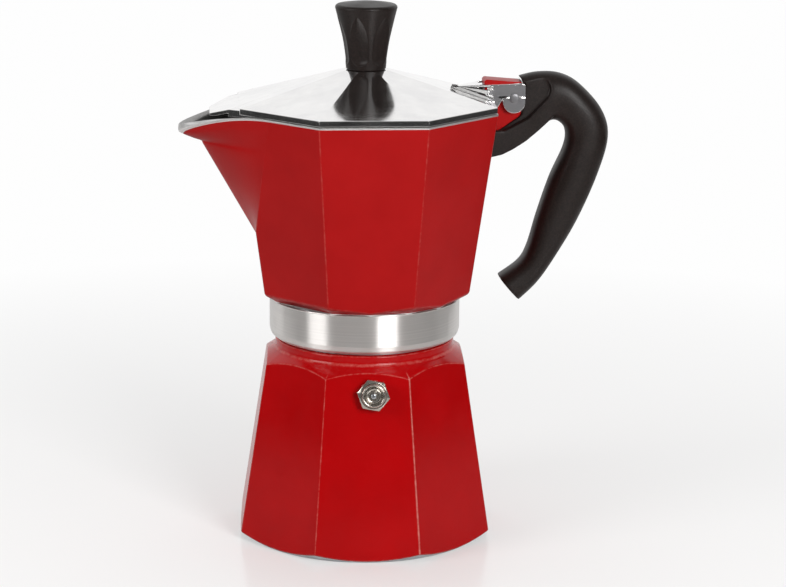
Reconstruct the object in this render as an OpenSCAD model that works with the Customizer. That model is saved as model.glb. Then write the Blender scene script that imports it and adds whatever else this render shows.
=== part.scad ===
// Stovetop moka pot for six cups: an octagonal water boiler, a coffee funnel, a collector
// that screws onto the boiler, a hinged lid with a knob, and a moulded handle.
// The origin is on the pot's axis, on the surface that the pot stands on. +Z is up,
// the handle is towards +X, the spout towards -X and the safety valve towards -Y.

/* [Boiler] */
// Width across the boiler's flats at its foot
boiler_w = 102; // [98:0.5:106]
// Height from the foot to the crease below the neck
boiler_h = 77.4; // [72:0.2:84]
// Width across the boiler's flats at that crease
boiler_top_w = 78.6; // [77:0.1:82]
// Turn of the boiler against the collector when screwed tight, in degrees
boiler_turn = -1.8; // [-5:0.1:5]
// Wall of the boiler
boiler_wall = 2.6; // [2:0.1:3.4]
// Thickness of the boiler's floor
boiler_floor = 3.5; // [2.5:0.1:6]
// Diameter of the flat disc that the boiler stands on
foot_d = 98.8; // [92:0.2:100]
// Slope of the bevel around the foot, in degrees
foot_slope = 34; // [25:1:45]
// Slope of the shoulder above the facets, in degrees
shoulder_slope = 33; // [28:1:38]

/* [Neck thread] */
// Diameter of the plain ring below the thread
neck_ring_d = 72.6; // [71:0.2:74]
// Height of the plain ring
neck_ring_h = 3.8; // [3:0.1:5]
// Height of the neck above the crease
neck_h = 15.6; // [15:0.1:18]
// Diameter over the crests of the boiler's thread
thread_d = 70.4; // [70:0.1:70.8]
// Rise of the thread in one turn
thread_pitch = 2.5; // [2.3:0.1:2.6]
// Number of turns of thread on each piece
thread_turns = 2.5; // [1.5:0.5:2.5]
// Depth of the thread
thread_depth = 1; // [0.8:0.05:1.1]
// Radial clearance between crest and root
thread_gap = 0.4; // [0.35:0.05:0.5]
// Diameter of the boiler's mouth
mouth_d = 62; // [61.4:0.1:63]

/* [Safety valve] */
// Height of the valve above the foot
valve_z = 67; // [60:0.5:67.5]
// Distance of the valve from the middle of its facet
valve_offset = 2.2; // [-4:0.1:4]
// Width across the flats of the valve's hexagon
valve_hex_w = 11.5; // [10.5:0.1:13]
// Thickness of the valve's hexagon
valve_hex_h = 3.8; // [3:0.1:5]
// Diameter of the valve's shank in the wall
valve_shank_d = 8; // [7.4:0.1:9]
// Reach of the shank behind the boiler's outer face
valve_shank_h = 5.4; // [5:0.1:6.5]
// Diameter of the valve's chamber
valve_bore_d = 5.2; // [5:0.1:5.6]
// Diameter of the piston's stem
valve_stem_d = 2.2; // [1.8:0.1:2.6]
// Travel of the piston when the valve blows off
valve_travel = 1.5; // [1:0.1:1.8]
// Thickness of the sealing washer under the hexagon
valve_washer_t = 0.8; // [0.5:0.1:1.2]
// Diameter of the valve spring's wire
spring_wire = 0.5; // [0.4:0.05:0.6]
// Number of turns of the valve spring
spring_turns = 5; // [3:1:6]

/* [Funnel] */
// Outer diameter of the coffee basket
basket_d = 60.8; // [58:0.1:61.2]
// Depth of the basket below its flange
basket_h = 24; // [20:0.5:27]
// Inset of the basket's flange from the crests of the neck's thread
flange_inset = 1.6; // [1.5:0.05:2.2]
// Thickness of the flange
flange_t = 1; // [0.8:0.1:1.4]
// Thickness of the funnel's sheet
sheet_t = 0.9; // [0.7:0.1:1.2]
// Outer diameter of the funnel's stem
stem_d = 10; // [8:0.2:12]
// Gap between the stem and the boiler's floor
stem_gap = 5; // [3:0.5:9]
// Height of the cone between basket and stem
cone_h = 8; // [6:0.5:12]
// Diameter of the holes in both filters
hole_d = 1.4; // [1:0.1:2]
// Spacing of the holes in both filters
hole_pitch = 5; // [4:0.5:6]
// Thickness of both filters
filter_t = 0.8; // [0.6:0.1:1]

/* [Gasket] */
// Thickness of the gasket
gasket_t = 3.4; // [3:0.1:4]
// Width of the gasket's ring above its lip
gasket_w = 6.6; // [5.6:0.1:7.6]
// Width of the lip that holds the filter plate
gasket_lip_w = 1; // [0.6:0.1:1.4]
// Height of the lip's upper face above the gasket's lower face
gasket_lip_h = 2; // [1.5:0.1:2.2]

/* [Collector] */
// Diameter of the turned collar
collar_d = 77.2; // [76.4:0.1:78.4]
// Height of the turned collar
collar_h = 16.2; // [15.5:0.1:20]
// Gap between the neck ring and the collar when screwed tight
collar_gap = 1; // [0.6:0.1:1.6]
// How much wider the collector's rim is than the boiler's foot
rim_extra = 0.1; // [0:0.1:4]
// Height of the octagonal chamber above the collar
chamber_h = 76.8; // [70:0.2:84]
// Width across the chamber's flats at its foot
chamber_foot_w = 81.2; // [80:0.1:86]
// Slope of the chamber's underside, in degrees
underside_slope = 30; // [26:1:34]
// Wall of the chamber
chamber_wall = 2.8; // [2.2:0.1:3.4]
// Thickness of the chamber's floor above the gasket
chamber_floor = 4.6; // [4:0.1:6]
// Height of the coffee column above the chamber's floor
column_h = 57; // [45:0.5:62]
// Diameter of the column at its foot
column_d = 19; // [17:0.5:22]
// Diameter of the column at its top
column_top_d = 10; // [9.5:0.2:12]
// Diameter of the bore in the column
column_bore_d = 6.8; // [6:0.1:7.2]

/* [Spout] */
// Distance of the spout's tip outside the rim
spout_out = 23.85; // [20:0.05:28]
// Width of the spout where it leaves the rim
spout_w = 65; // [60:0.5:68]
// Height of the spout's lowest point above the chamber's collar
spout_foot = 25.2; // [22:0.5:32]
// Distance from the spout's tip back to the bend in its ridge
spout_bend_in = 9.9; // [8:0.1:12]
// Wall of the spout
spout_wall = 2.4; // [2:0.1:3]
// Radius of the spout's nose
nose_r = 3; // [2:0.1:5]
// Drop of the spout's tip below the rim
tip_drop = 8.8; // [7:0.1:10]

/* [Lid] */
// Inset of the lid's edge from the outside of the rim
lid_inset = 0.35; // [0:0.05:1]
// Gap between the lid and the chamber's rim
lid_gap = 0.3; // [0.2:0.05:0.5]
// Height of the lid's upright edge
lid_edge_h = 2.3; // [2:0.1:3]
// Slope of the lid's facets, in degrees
lid_slope = 16.4; // [13:0.1:18]
// Thickness of the lid
lid_t = 1.5; // [1.2:0.1:2]
// Width across the flats of the seat for the knob
boss_w = 17.2; // [16.4:0.2:20]
// Half the width of the lid's tab at its end
tab_end = 8; // [6:0.5:10]
// Distance from the spout's tip to the end of the lid's tab
tab_gap = 12.5; // [10:0.5:16]

/* [Hinge] */
// Distance of the hinge pin outside the rim
hinge_out = 7.75; // [7.25:0.05:8.25]
// Height of the hinge pin above the rim
hinge_up = 4.1; // [3.8:0.1:4.5]
// Diameter of the hinge pin
pin_d = 3; // [2.6:0.1:3.4]
// Width of the lug between the lid's ears
lug_w = 10; // [9:0.2:11]
// Thickness of each ear
ear_t = 2.5; // [2:0.1:3]
// Clearance between moving faces of the hinge
hinge_gap = 0.2; // [0.15:0.05:0.3]
// Diameter of the round end of each ear
ear_d = 9.2; // [8.6:0.1:9.8]

/* [Handle] */
// Largest width of the handle
handle_w = 18; // [16:0.5:20]
// Width of the handle's arm beside the chamber
arm_w = 15; // [14.5:0.5:17]
// Thickness of the tongue that the lug holds
tongue_t = 3.2; // [2.6:0.1:4]
// Depth of the hollow in the handle's lower end
hollow_depth = 12; // [6:0.5:16]

/* [Knob] */
// Largest diameter of the knob
knob_d = 24.8; // [22:0.2:28]
// Diameter of the knob where it sits on the lid
knob_foot_d = 15.4; // [15:0.1:16]
// Height of the knob
knob_h = 27.1; // [25:0.1:32]
// Number of flutes around the knob
knob_flutes = 6; // [5:1:8]
// Depth of each flute
flute_depth = 0.9; // [0.5:0.05:1.1]
// Turn of the flutes when the knob is screwed tight, in degrees
knob_turn = 8.2; // [0:0.1:60]
// Diameter of the knob's screw
screw_d = 4; // [3.6:0.1:4.6]

/* [Hidden] */
$fn = 96;

red_dark = "#A30D10";
red_light = "#A81C1C";
bare = "#C9CACC";
polished = "#DCDDDE";
black = "#231F1C";
brass = "#B9A66A";
steel = "#9FA3A6";
rubber = "#E8E4DA";

// Clearances: a sliding or turning fit, a fit of fixed pieces, and room for a loose piece
run_fit = 0.1;
fix_fit = 0.05;
loose_fit = 0.3;
// Gap under a hard piece that only rests on another
rest_gap = 0.02;
// How far a joined shape reaches into its neighbour
embed = 0.5;
// Half the angle between two facets of an octagon
half_facet = 22.5;

// Widths and diameters that follow from others, and the leans of the facets
rim_w = boiler_w + rim_extra;
lid_w = rim_w - 2 * lid_inset;
flange_d = thread_d - 2 * flange_inset;
gasket_bore_d = flange_d - 2 * gasket_w;
boiler_lean = atan((boiler_w - boiler_top_w) / 2 / boiler_h);
chamber_lean = atan((rim_w - chamber_foot_w) / 2 / chamber_h);

// Levels from the foot upwards
neck_ring_z = boiler_h + neck_ring_h;
mouth_z = boiler_h + neck_h;
flange_low_z = mouth_z + rest_gap;
flange_z = flange_low_z + flange_t;
seat_z = flange_z + gasket_t;
collar_z = neck_ring_z + collar_gap;
collar_top = collar_z + collar_h;
floor_z = seat_z + chamber_floor;
rim_z = collar_top + chamber_h;
lid_z = rim_z + lid_gap;
eave_z = lid_z + lid_edge_h;
boss_z = eave_z + (lid_w - boss_w) / 2 * tan(lid_slope);

// Thread: radii of roots and crests, and where the ridges start
neck_root_r = thread_d / 2 - thread_depth;
collar_bore_r = thread_d / 2 + thread_gap;
collar_crest_r = neck_root_r + thread_gap + 0.1;
thread_steps = 24;
thread_z = collar_z + thread_pitch / 2;
thread_foot_half = 1.1;
thread_crest_half = 0.3;
thread_root_embed = 0.6;

// Hinge pin's axis
hinge_x = rim_w / 2 + hinge_out;
hinge_z = rim_z + hinge_up;
ear_y = lug_w / 2 + hinge_gap;

// Half the boiler's width across flats at height z, and the same for the chamber
function boiler_facet(z) = boiler_w / 2 - z * tan(boiler_lean);
function chamber_facet(z) = rim_w / 2 - (rim_z - z) * tan(chamber_lean);
// Height of the lid's surface at distance d from the axis
function lid_top(d) = eave_z + (lid_w / 2 - d) * tan(lid_slope);
function mix(a, b, t) = a + (b - a) * t;
function mean(points) = [for (k = [0 : 2]) [for (p = points) p[k]] * [for (p = points) 1] / len(points)];

// Octagonal frustum with flats of width w1 at z1 and w2 at z2, facing +X and +Y
module octagon(w1, z1, w2, z2) {
  translate([0, 0, z1])
    rotate([0, 0, half_facet])
      cylinder(
        r1 = w1 / 2 / cos(half_facet), r2 = w2 / 2 / cos(half_facet), h = z2 - z1, $fn = 8
      );
}

// Solid through a list of rings, each with the same number of points. Each end is a fan
// around the middle of its ring, or around the top point if one is given.
module loft(rings, top) {
  n = len(rings);
  m = len(rings[0]);
  points = concat(
    [for (r = rings) each r], [mean(rings[0]), is_undef(top) ? mean(rings[n - 1]) : top]
  );
  sides = [
    for (i = [0 : n - 2]) for (j = [0 : m - 1])
      let (a = i * m + j, b = i * m + (j + 1) % m, c = b + m, d = a + m)
        each [[a, d, c], [a, c, b]]
  ];
  first = [for (j = [0 : m - 1]) [n * m, j, (j + 1) % m]];
  last = [
    for (j = [0 : m - 1]) [n * m + 1, (n - 1) * m + (j + 1) % m, (n - 1) * m + j]
  ];
  polyhedron(points, concat(sides, first, last));
}

// Ridge of a section, in radius and height, wound up a right-hand thread from angle start
module thread_ridge(section, start) {
  count = thread_turns * thread_steps;
  loft([
    for (i = [0 : count])
      let (a = start + 360 * i / thread_steps, z = thread_z + thread_pitch * i / thread_steps)
        [for (p = section) [p[0] * cos(a), p[0] * sin(a), z + p[1]]]
  ]);
}

// Flat shape in X and Z, given thickness t and centred on y
module upright(y, t) {
  translate([0, y + t / 2, 0])
    rotate([90, 0, 0])
      linear_extrude(t)
        children();
}

// Disc with rings of holes around its middle
module sieve(r, z, margin) {
  rings = floor((r - margin) / hole_pitch);
  difference() {
    translate([0, 0, z])
      cylinder(r = r, h = filter_t);
    for (k = [0 : rings])
      for (i = [0 : max(1, 6 * k) - 1])
        rotate([0, 0, 360 * i / max(1, 6 * k)])
          translate([k * hole_pitch, 0, z - 1])
            cylinder(d = hole_d, h = filter_t + 2, $fn = 24);
  }
}

// ---- Boiler ----

module boiler() {
  corner_r = boiler_w / 2 / cos(half_facet) + 2;
  ring_r = neck_ring_d / 2;
  ring_round = 0.8;
  // Inner face of the shoulder, one wall below the outer one
  inner_r = ring_r - boiler_wall * sin(shoulder_slope);
  inner_z = boiler_h - boiler_wall * cos(shoulder_slope);
  mouth_r = mouth_d / 2;
  wall_flat = boiler_wall / cos(boiler_lean);
  boss_r = 7.5;
  boss_h = 1.4;

  color(red_dark) {
    difference() {
      union() {
        rotate([0, 0, boiler_turn])
          intersection() {
            octagon(boiler_w, 0, 2 * boiler_facet(mouth_z), mouth_z);
            rotate_extrude()
              polygon([
                [0, 0], [foot_d / 2, 0],
                [corner_r, (corner_r - foot_d / 2) * tan(foot_slope)],
                [corner_r, boiler_h - (corner_r - ring_r) * tan(shoulder_slope)],
                [ring_r, boiler_h], [ring_r, neck_ring_z - ring_round],
                [ring_r - ring_round, neck_ring_z], [neck_root_r, neck_ring_z],
                [neck_root_r, mouth_z], [0, mouth_z]
              ]);
          }
        boiler_thread();
      }
      rotate([0, 0, boiler_turn])
        intersection() {
          octagon(
            2 * (boiler_facet(boiler_floor) - wall_flat), boiler_floor,
            2 * (boiler_facet(mouth_z + 1) - wall_flat), mouth_z + 1
          );
          rotate_extrude()
            polygon([
              [0, boiler_floor], [corner_r, boiler_floor],
              [corner_r, inner_z - (corner_r - inner_r) * tan(shoulder_slope)],
              [mouth_r, inner_z + (inner_r - mouth_r) * tan(shoulder_slope)],
              [mouth_r, mouth_z + 1], [0, mouth_z + 1]
            ]);
        }
      at_valve()
        translate([0, 0, -valve_shank_h])
          cylinder(r = valve_shank_d / 2 + fix_fit, h = valve_shank_h + 1);
    }
    // Thickened wall around the valve's hole
    at_valve()
      difference() {
        translate([0, 0, -boiler_wall - boss_h])
          cylinder(r = boss_r, h = boss_h + embed);
        translate([0, 0, -valve_shank_h])
          cylinder(r = valve_shank_d / 2 + fix_fit, h = valve_shank_h + 1);
      }
  }
}

module boiler_thread() {
  thread_ridge([
    [neck_root_r - thread_root_embed, -thread_foot_half],
    [neck_root_r - thread_root_embed, thread_foot_half],
    [thread_d / 2, thread_crest_half],
    [thread_d / 2, -thread_crest_half]
  ], 0);
}

// ---- Safety valve, along the outward direction of its facet ----

module at_valve() {
  rotate([0, 0, boiler_turn])
    translate([valve_offset, -boiler_facet(valve_z), valve_z])
      rotate([90 - boiler_lean, 0, 0])
        children();
}

valve_face_h = valve_washer_t + valve_hex_h + 1.4;
valve_cap_t = 0.8;
valve_cap_z = valve_face_h - 1.6;
valve_rear_t = 1;
valve_seat_z = -valve_shank_h + valve_rear_t;
seal_t = 0.6;
piston_head_t = 0.8;
piston_head_z = valve_seat_z + seal_t;
piston_tip_z = valve_face_h + 0.7;

module valve_washer() {
  color(rubber)
    at_valve()
      difference() {
        cylinder(d = valve_hex_w + 1.8, h = valve_washer_t);
        translate([0, 0, -1])
          cylinder(r = valve_shank_d / 2 + run_fit, h = valve_washer_t + 2);
      }
}

module valve_body() {
  hex_turn = 12;
  ring_r = valve_hex_w / 2 - 0.5;
  recess_r = ring_r - 1.6;

  color(brass)
    at_valve()
      difference() {
        union() {
          translate([0, 0, valve_washer_t])
            rotate([0, 0, hex_turn])
              cylinder(d = valve_hex_w / cos(30), h = valve_hex_h, $fn = 6);
          translate([0, 0, valve_washer_t])
            cylinder(r = ring_r, h = valve_face_h - valve_washer_t);
          translate([0, 0, -valve_shank_h])
            cylinder(d = valve_shank_d, h = valve_shank_h + valve_washer_t + embed);
        }
        translate([0, 0, valve_seat_z])
          cylinder(d = valve_bore_d, h = valve_face_h + valve_shank_h);
        translate([0, 0, valve_cap_z])
          cylinder(r = recess_r, h = valve_face_h);
        translate([0, 0, -valve_shank_h - 1])
          cylinder(d = valve_stem_d, h = valve_rear_t + 2);
      }
}

module valve_cap() {
  cap_r = valve_hex_w / 2 - 0.5 - 1.6 - fix_fit;

  color(steel)
    at_valve()
      translate([0, 0, valve_cap_z])
        difference() {
          cylinder(r = cap_r, h = valve_cap_t);
          translate([0, 0, -1])
            cylinder(r = valve_stem_d / 2 + run_fit, h = valve_cap_t + 2);
        }
}

// The stem is thicker up to the height where it meets the cap when the valve is fully open
module valve_piston() {
  head_r = valve_bore_d / 2 - 0.2;
  stem_r = valve_stem_d / 2;
  stop_r = stem_r + 0.3;
  stop_h = valve_cap_z - valve_travel - fix_fit - piston_head_z;
  stem_h = piston_tip_z - piston_head_z;
  tip_bevel = 0.3;

  color(steel)
    at_valve()
      translate([0, 0, piston_head_z])
        rotate_extrude()
          polygon([
            [0, 0], [head_r, 0], [head_r, piston_head_t], [stop_r, piston_head_t],
            [stop_r, stop_h], [stem_r, stop_h], [stem_r, stem_h - tip_bevel],
            [stem_r - tip_bevel, stem_h], [0, stem_h]
          ]);
}

module piston_seal() {
  color("#3A3A3A")
    at_valve()
      translate([0, 0, valve_seat_z])
        cylinder(r = valve_bore_d / 2 - 0.3, h = seal_t);
}

module valve_spring() {
  z1 = piston_head_z + piston_head_t + spring_wire / 2 + fix_fit;
  z2 = valve_cap_z - spring_wire / 2 - fix_fit;
  coil_r = valve_bore_d / 2 - spring_wire / 2 - run_fit;
  steps = 12;
  count = spring_turns * steps;
  sides = 6;

  color(steel)
    at_valve()
      loft([
        for (i = [0 : count])
          let (a = 360 * i / steps, z = mix(z1, z2, i / count))
            [
              for (j = [0 : sides - 1])
                let (b = -360 * j / sides, r = coil_r + spring_wire / 2 * cos(b))
                  [r * cos(a), r * sin(a), z + spring_wire / 2 * sin(b)]
            ]
      ]);
}

// ---- Funnel ----

basket_r = basket_d / 2;
basket_floor_z = flange_z - basket_h;
stem_top_z = basket_floor_z - cone_h;
stem_sleeve_h = 3;

module funnel_basket() {
  inner_r = basket_r - sheet_t;
  sleeve_r = stem_d / 2 + fix_fit;
  ledge_w = 1.5;

  color(bare)
    rotate_extrude()
      polygon([
        [inner_r, flange_z], [flange_d / 2, flange_z], [flange_d / 2, flange_low_z],
        [basket_r, flange_low_z], [basket_r, basket_floor_z],
        [sleeve_r + sheet_t, stem_top_z], [sleeve_r + sheet_t, stem_top_z - stem_sleeve_h],
        [sleeve_r, stem_top_z - stem_sleeve_h], [sleeve_r, stem_top_z + sheet_t],
        [inner_r - ledge_w, basket_floor_z + sheet_t], [inner_r, basket_floor_z + sheet_t]
      ]);
}

module funnel_stem() {
  bottom_z = boiler_floor + stem_gap;

  color(bare)
    translate([0, 0, bottom_z])
      difference() {
        cylinder(d = stem_d, h = stem_top_z - bottom_z);
        translate([0, 0, -1])
          cylinder(r = stem_d / 2 - sheet_t, h = stem_top_z - bottom_z + 2);
      }
}

module funnel_strainer() {
  color(steel)
    sieve(basket_r - sheet_t - run_fit, basket_floor_z + sheet_t, 3);
}

// ---- Gasket and upper filter ----

module gasket() {
  bore_r = gasket_bore_d / 2;

  color(rubber)
    rotate_extrude()
      polygon([
        [bore_r, seat_z], [bore_r, flange_z + gasket_lip_h],
        [bore_r - gasket_lip_w, flange_z + gasket_lip_h],
        [bore_r - gasket_lip_w, flange_z + gasket_lip_h - 1], [bore_r, flange_z],
        [flange_d / 2, flange_z], [flange_d / 2, seat_z]
      ]);
}

module filter_plate() {
  color(steel)
    sieve(gasket_bore_d / 2 - run_fit, flange_z + gasket_lip_h, 3);
}

// ---- Collector ----

module collector() {
  color(red_light) {
    difference() {
      union() {
        collector_shell();
        lug();
      }
      lug_slot();
      hinge_bore(pin_d / 2 + fix_fit);
    }
    column();
    thread_ridge([
      [collar_bore_r + thread_root_embed, thread_foot_half],
      [collar_bore_r + thread_root_embed, -thread_foot_half],
      [collar_crest_r, -thread_crest_half],
      [collar_crest_r, thread_crest_half]
    ], 180);
  }
}

module collector_shell() {
  collar_r = collar_d / 2;
  round_w = 1.8;
  round_h = 3.2;
  top_ring = 0.8;
  outer_r = spout_reach + 2;
  under_z = collar_top + (outer_r - collar_r) * tan(underside_slope);
  floor_r = collar_r + 0.5;
  // Where the gasket's recess starts, above the funnel's flange
  recess_z = flange_z;
  dish_r = gasket_bore_d / 2 - 2;

  difference() {
    intersection() {
      chamber_block(0, collar_z, 0);
      rotate_extrude()
        polygon([
          [0, collar_z], [collar_r - round_w, collar_z],
          [collar_r - 0.3 * round_w, collar_z + 0.4 * round_h], [collar_r, collar_z + round_h],
          [collar_r, collar_top - top_ring], [collar_r + top_ring, collar_top],
          [outer_r, under_z], [outer_r, rim_z], [0, rim_z]
        ]);
    }
    intersection() {
      chamber_block(chamber_wall / cos(chamber_lean), floor_z, 10);
      rotate_extrude()
        polygon([
          [0, floor_z], [floor_r, floor_z],
          [2 * outer_r, floor_z + (2 * outer_r - floor_r) * tan(underside_slope)],
          [2 * outer_r, rim_z + 11], [0, rim_z + 11]
        ]);
    }
    // Threaded bore, gasket recess and the dish that leads to the column
    rotate_extrude()
      polygon([
        [0, collar_z - 1], [collar_bore_r, collar_z - 1], [collar_bore_r, recess_z],
        [flange_d / 2 + loose_fit, recess_z], [flange_d / 2 + loose_fit, seat_z],
        [dish_r, seat_z], [column_bore_d / 2, seat_z + chamber_floor - 1.5],
        [column_bore_d / 2, floor_z + 1], [0, floor_z + 1]
      ]);
  }
}

// Coffee column with a closed top and two side outlets below it
module column() {
  top_z = floor_z + column_h;
  outlet_r = 2.2;

  difference() {
    rotate_extrude()
      polygon([
        [0, floor_z - embed], [column_d / 2, floor_z - embed],
        [column_top_d / 2, top_z], [column_top_d / 2 - 2, top_z + 2], [0, top_z + 3]
      ]);
    translate([0, 0, floor_z - embed - 1])
      cylinder(d = column_bore_d, h = column_h);
    translate([0, 0, top_z - 5])
      rotate([90, 0, 0])
        cylinder(r = outlet_r, h = column_d, center = true, $fn = 48);
  }
}

// ---- Spout ----

// Levels of the spout's lowest point, of the corner beside it, of the ridge's bend and its tip
spout_foot_z = collar_top + spout_foot;
spout_corner_z = spout_foot_z + 4.4;
spout_bend_z = rim_z - tip_drop - 6;
tip_z = rim_z - tip_drop;
spout_reach = rim_w / 2 + spout_out;
lip_run = 6.4;
lip_rise = 2.3;
lip_thick = 1.5;

// The spout's edge climbs from a corner of the left facet to the rim. Each point lies
// inside a wall of thickness t, which is 0 for the outer face, at share f of the height.
function spout_corner(t) =
  let (a = chamber_facet(spout_corner_z) - t) [-a, a * tan(half_facet), spout_corner_z];
function spout_rim(t) =
  [-(rim_w - t * sqrt(2)) / sqrt(2) + spout_w / 2, (spout_w - t * sqrt(2)) / 2, rim_z];
function spout_edge(f, t) = mix(spout_corner(t), spout_rim(t), f);

// Ridge line at height z, from the foot to the bend
function ridge(z) =
  let (share = (z - spout_foot_z) / (spout_bend_z - spout_foot_z))
    [mix(-chamber_facet(spout_foot_z), spout_bend_in - spout_reach, share), z];

// Stations of the spout above its foot: share of the edge's height, ridge point and the
// direction in which the hollow's ridge lies from it
spout_stations = concat(
  [for (t = [0.25 : 0.25 : 1]) [0.66 * t, ridge(mix(spout_foot_z, spout_bend_z, t)), 8]],
  [
    [0.74, ridge(spout_bend_z + 1.2) + [0.1, 0], 30],
    [0.82, [-spout_reach + lip_run, tip_z - lip_thick - lip_rise], 65],
    [0.90, [-spout_reach + lip_run / 2, tip_z - lip_thick - lip_rise * 0.45], 76],
    [0.97, [-spout_reach + 0.6, tip_z - lip_thick], 82],
    [1, [-spout_reach, tip_z], 86]
  ]
);

// Ridge point of a station, moved inwards if the wall has a thickness
function station_nose(s, t) =
  let (
    edge = spout_edge(s[0], 0),
    shift = spout_wall * norm([edge[1], edge[0] - s[1][0]]) / edge[1],
    depth = mix(shift, lip_thick * 1.15, s[2] / 90)
  )
    s[1] + (t > 0 ? depth : 0) * [cos(s[2]), sin(s[2])];

// Places across the spout, from its edge at +Y by way of the ridge to its edge at -Y
spout_shares = [for (k = [6 : -1 : -6]) sign(k) * k * k / 36];

// Line across the plain facet below the spout, from height z at the edges to mid_z
function facet_line(mid_z, z, t) = [
  for (u = spout_shares)
    let (h = mix(mid_z, z, sin(90 * abs(u))))
      [t - chamber_facet(h), (chamber_facet(z) - t) * tan(half_facet) * u, h]
];

// Line across the spout from edge to edge, round its nose. It runs flatter near the nose.
function spout_line(edge, nose) =
  let (run = edge[0] - nose[0], e = nose_r * max(run, 1) / (edge[1] * edge[1]))
    [
      for (u = spout_shares)
        [
          nose[0] + run * (sqrt(u * u + e * e) - e) / (sqrt(1 + e * e) - e),
          edge[1] * u,
          mix(nose[1], edge[2], pow(sin(90 * abs(u)), 1.4))
        ]
    ];

// Ring that closes a line around the chamber's other corners at height z
function chamber_ring(line, z, t) = concat(
  line,
  [
    for (k = [5 : 10])
      let (a = half_facet + 45 * k, r = (chamber_facet(z) - t) / cos(half_facet))
        [r * cos(a), r * sin(a), z]
  ]
);

// Octagonal block with the spout growing out of its left facet, inside a wall of
// thickness t, from low_z to a height above the rim
module chamber_block(t, low_z, above) {
  tip = spout_stations[len(spout_stations) - 1];
  top_f = 1 + above / (rim_z - spout_corner_z);
  below = [
    chamber_ring(facet_line(low_z, low_z, t), low_z, t),
    chamber_ring(facet_line(spout_foot_z, spout_corner_z, t), spout_corner_z, t)
  ];
  sides = [
    for (s = spout_stations)
      let (edge = spout_edge(s[0], t))
        chamber_ring(spout_line(edge, station_nose(s, t)), edge[2], t)
  ];
  cap = [
    for (z = [rim_z + above])
      chamber_ring(
        spout_line(spout_edge(top_f, t), [station_nose(tip, t)[0] - 2, z]), z, t
      )
  ];
  loft(concat(below, sides, above > 0 ? cap : []), [0, 0, rim_z + above]);
}

// ---- Hinge ----

// Point at dx, dz from the hinge pin's axis
function from_pin(dx, dz) = [hinge_x + dx, hinge_z + dz];

module hinge_bore(r) {
  translate([hinge_x, 0, hinge_z])
    rotate([90, 0, 0])
      cylinder(r = r, h = 60, center = true);
}

// Side of the lug towards the handle, from below upwards, measured from the pin's axis
lug_face = [[-5.8, -13.4], [2.2, -7.9], [3, -6.9], [4.4, 4.5], [3.2, 6]];

// Lug on the chamber's wall, between the lid's ears
module lug() {
  low_z = hinge_z + lug_face[0][1];
  root = chamber_wall / 2;

  upright(0, lug_w)
    polygon(concat(
      [[chamber_facet(low_z) - root, low_z]],
      [for (p = lug_face) from_pin(p[0], p[1])],
      [
        from_pin(-11, 7.2), from_pin(-11.8, 6.4), from_pin(-11.4, 2),
        [chamber_facet(rim_z) - root, rim_z - 0.5]
      ]
    ));
}

// Slot in the lug for the handle's tongue
module lug_slot() {
  upright(0, tongue_t + 2 * run_fit)
    polygon([
      from_pin(-4.2, -6.2), from_pin(-4.2, 12), from_pin(12, 12), from_pin(12, -6.2)
    ]);
}

module hinge_pin() {
  head_h = 0.9;
  head_y = ear_y + ear_t + run_fit;

  color(steel)
    translate([hinge_x, 0, hinge_z])
      rotate([90, 0, 0]) {
        cylinder(d = pin_d, h = 2 * head_y + embed, center = true);
        for (side = [-1, 1])
          translate([0, 0, side * (head_y + head_h / 2)])
            cylinder(d = pin_d + 1.6, h = head_h, center = true);
      }
}

// ---- Lid ----

module lid() {
  inner_w = rim_w - 2 * chamber_wall - 1;
  rise = lid_t / cos(lid_slope);
  sweep_r = norm([11.8, 7.2]) + 0.45;

  color(polished)
    difference() {
      union() {
        octagon(lid_w, lid_z, lid_w, eave_z);
        octagon(lid_w, eave_z, boss_w, boss_z);
        tab(0, 0, [lid_z, lid_z - 1.6, lid_z - 2.4]);
        hinge_wedge();
        ear(-1);
        ear(1);
      }
      octagon(inner_w, lid_z - 1, inner_w, lid_top(inner_w / 2) - rise);
      octagon(inner_w, lid_top(inner_w / 2) - rise - 0.01, boss_w, boss_z - rise);
      tab(lid_t, rise, [lid_z - 9, lid_z - 9, lid_z - 9]);
      tab_window(rise);
      // Room for the lug, which the lid swings around
      intersection() {
        upright(0, 2 * ear_y)
          translate(from_pin(0, 0))
            circle(r = sweep_r);
        translate([0, -ear_y, lid_z - 12])
          cube([2 * rim_w, 2 * ear_y, 60]);
      }
      hinge_bore(pin_d / 2 + run_fit);
      translate([0, 0, boss_z - 10])
        cylinder(r = screw_d / 2 + run_fit, h = 20);
    }
}

// Where the lid's tab turns down over the spout, one side; y is positive
function tab_corners(inset, drop) =
  let (
    root_x = spout_rim(0)[0] + 6.5,
    eave = [spout_rim(0)[0] + 0.2, spout_rim(0)[1] - 0.2],
    tip = [-(spout_reach - tab_gap), tab_end],
    knee_x = -(lid_w / 2 + 4.4),
    knee_y = mix(eave[1], tip[1], (knee_x - eave[0]) / (tip[0] - eave[0])),
    slide = 1.5 * inset
  )
    [
      [root_x + slide, 6, lid_top(-root_x) - drop],
      [eave[0] + slide, eave[1], eave_z - drop],
      [knee_x + slide, knee_y, mix(lid_top(-knee_x), eave_z, 0.2) - drop],
      [tip[0] + inset, tip[1] - 0.62 * inset, lid_top(-tip[0]) - drop - 0.3]
    ];

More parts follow.
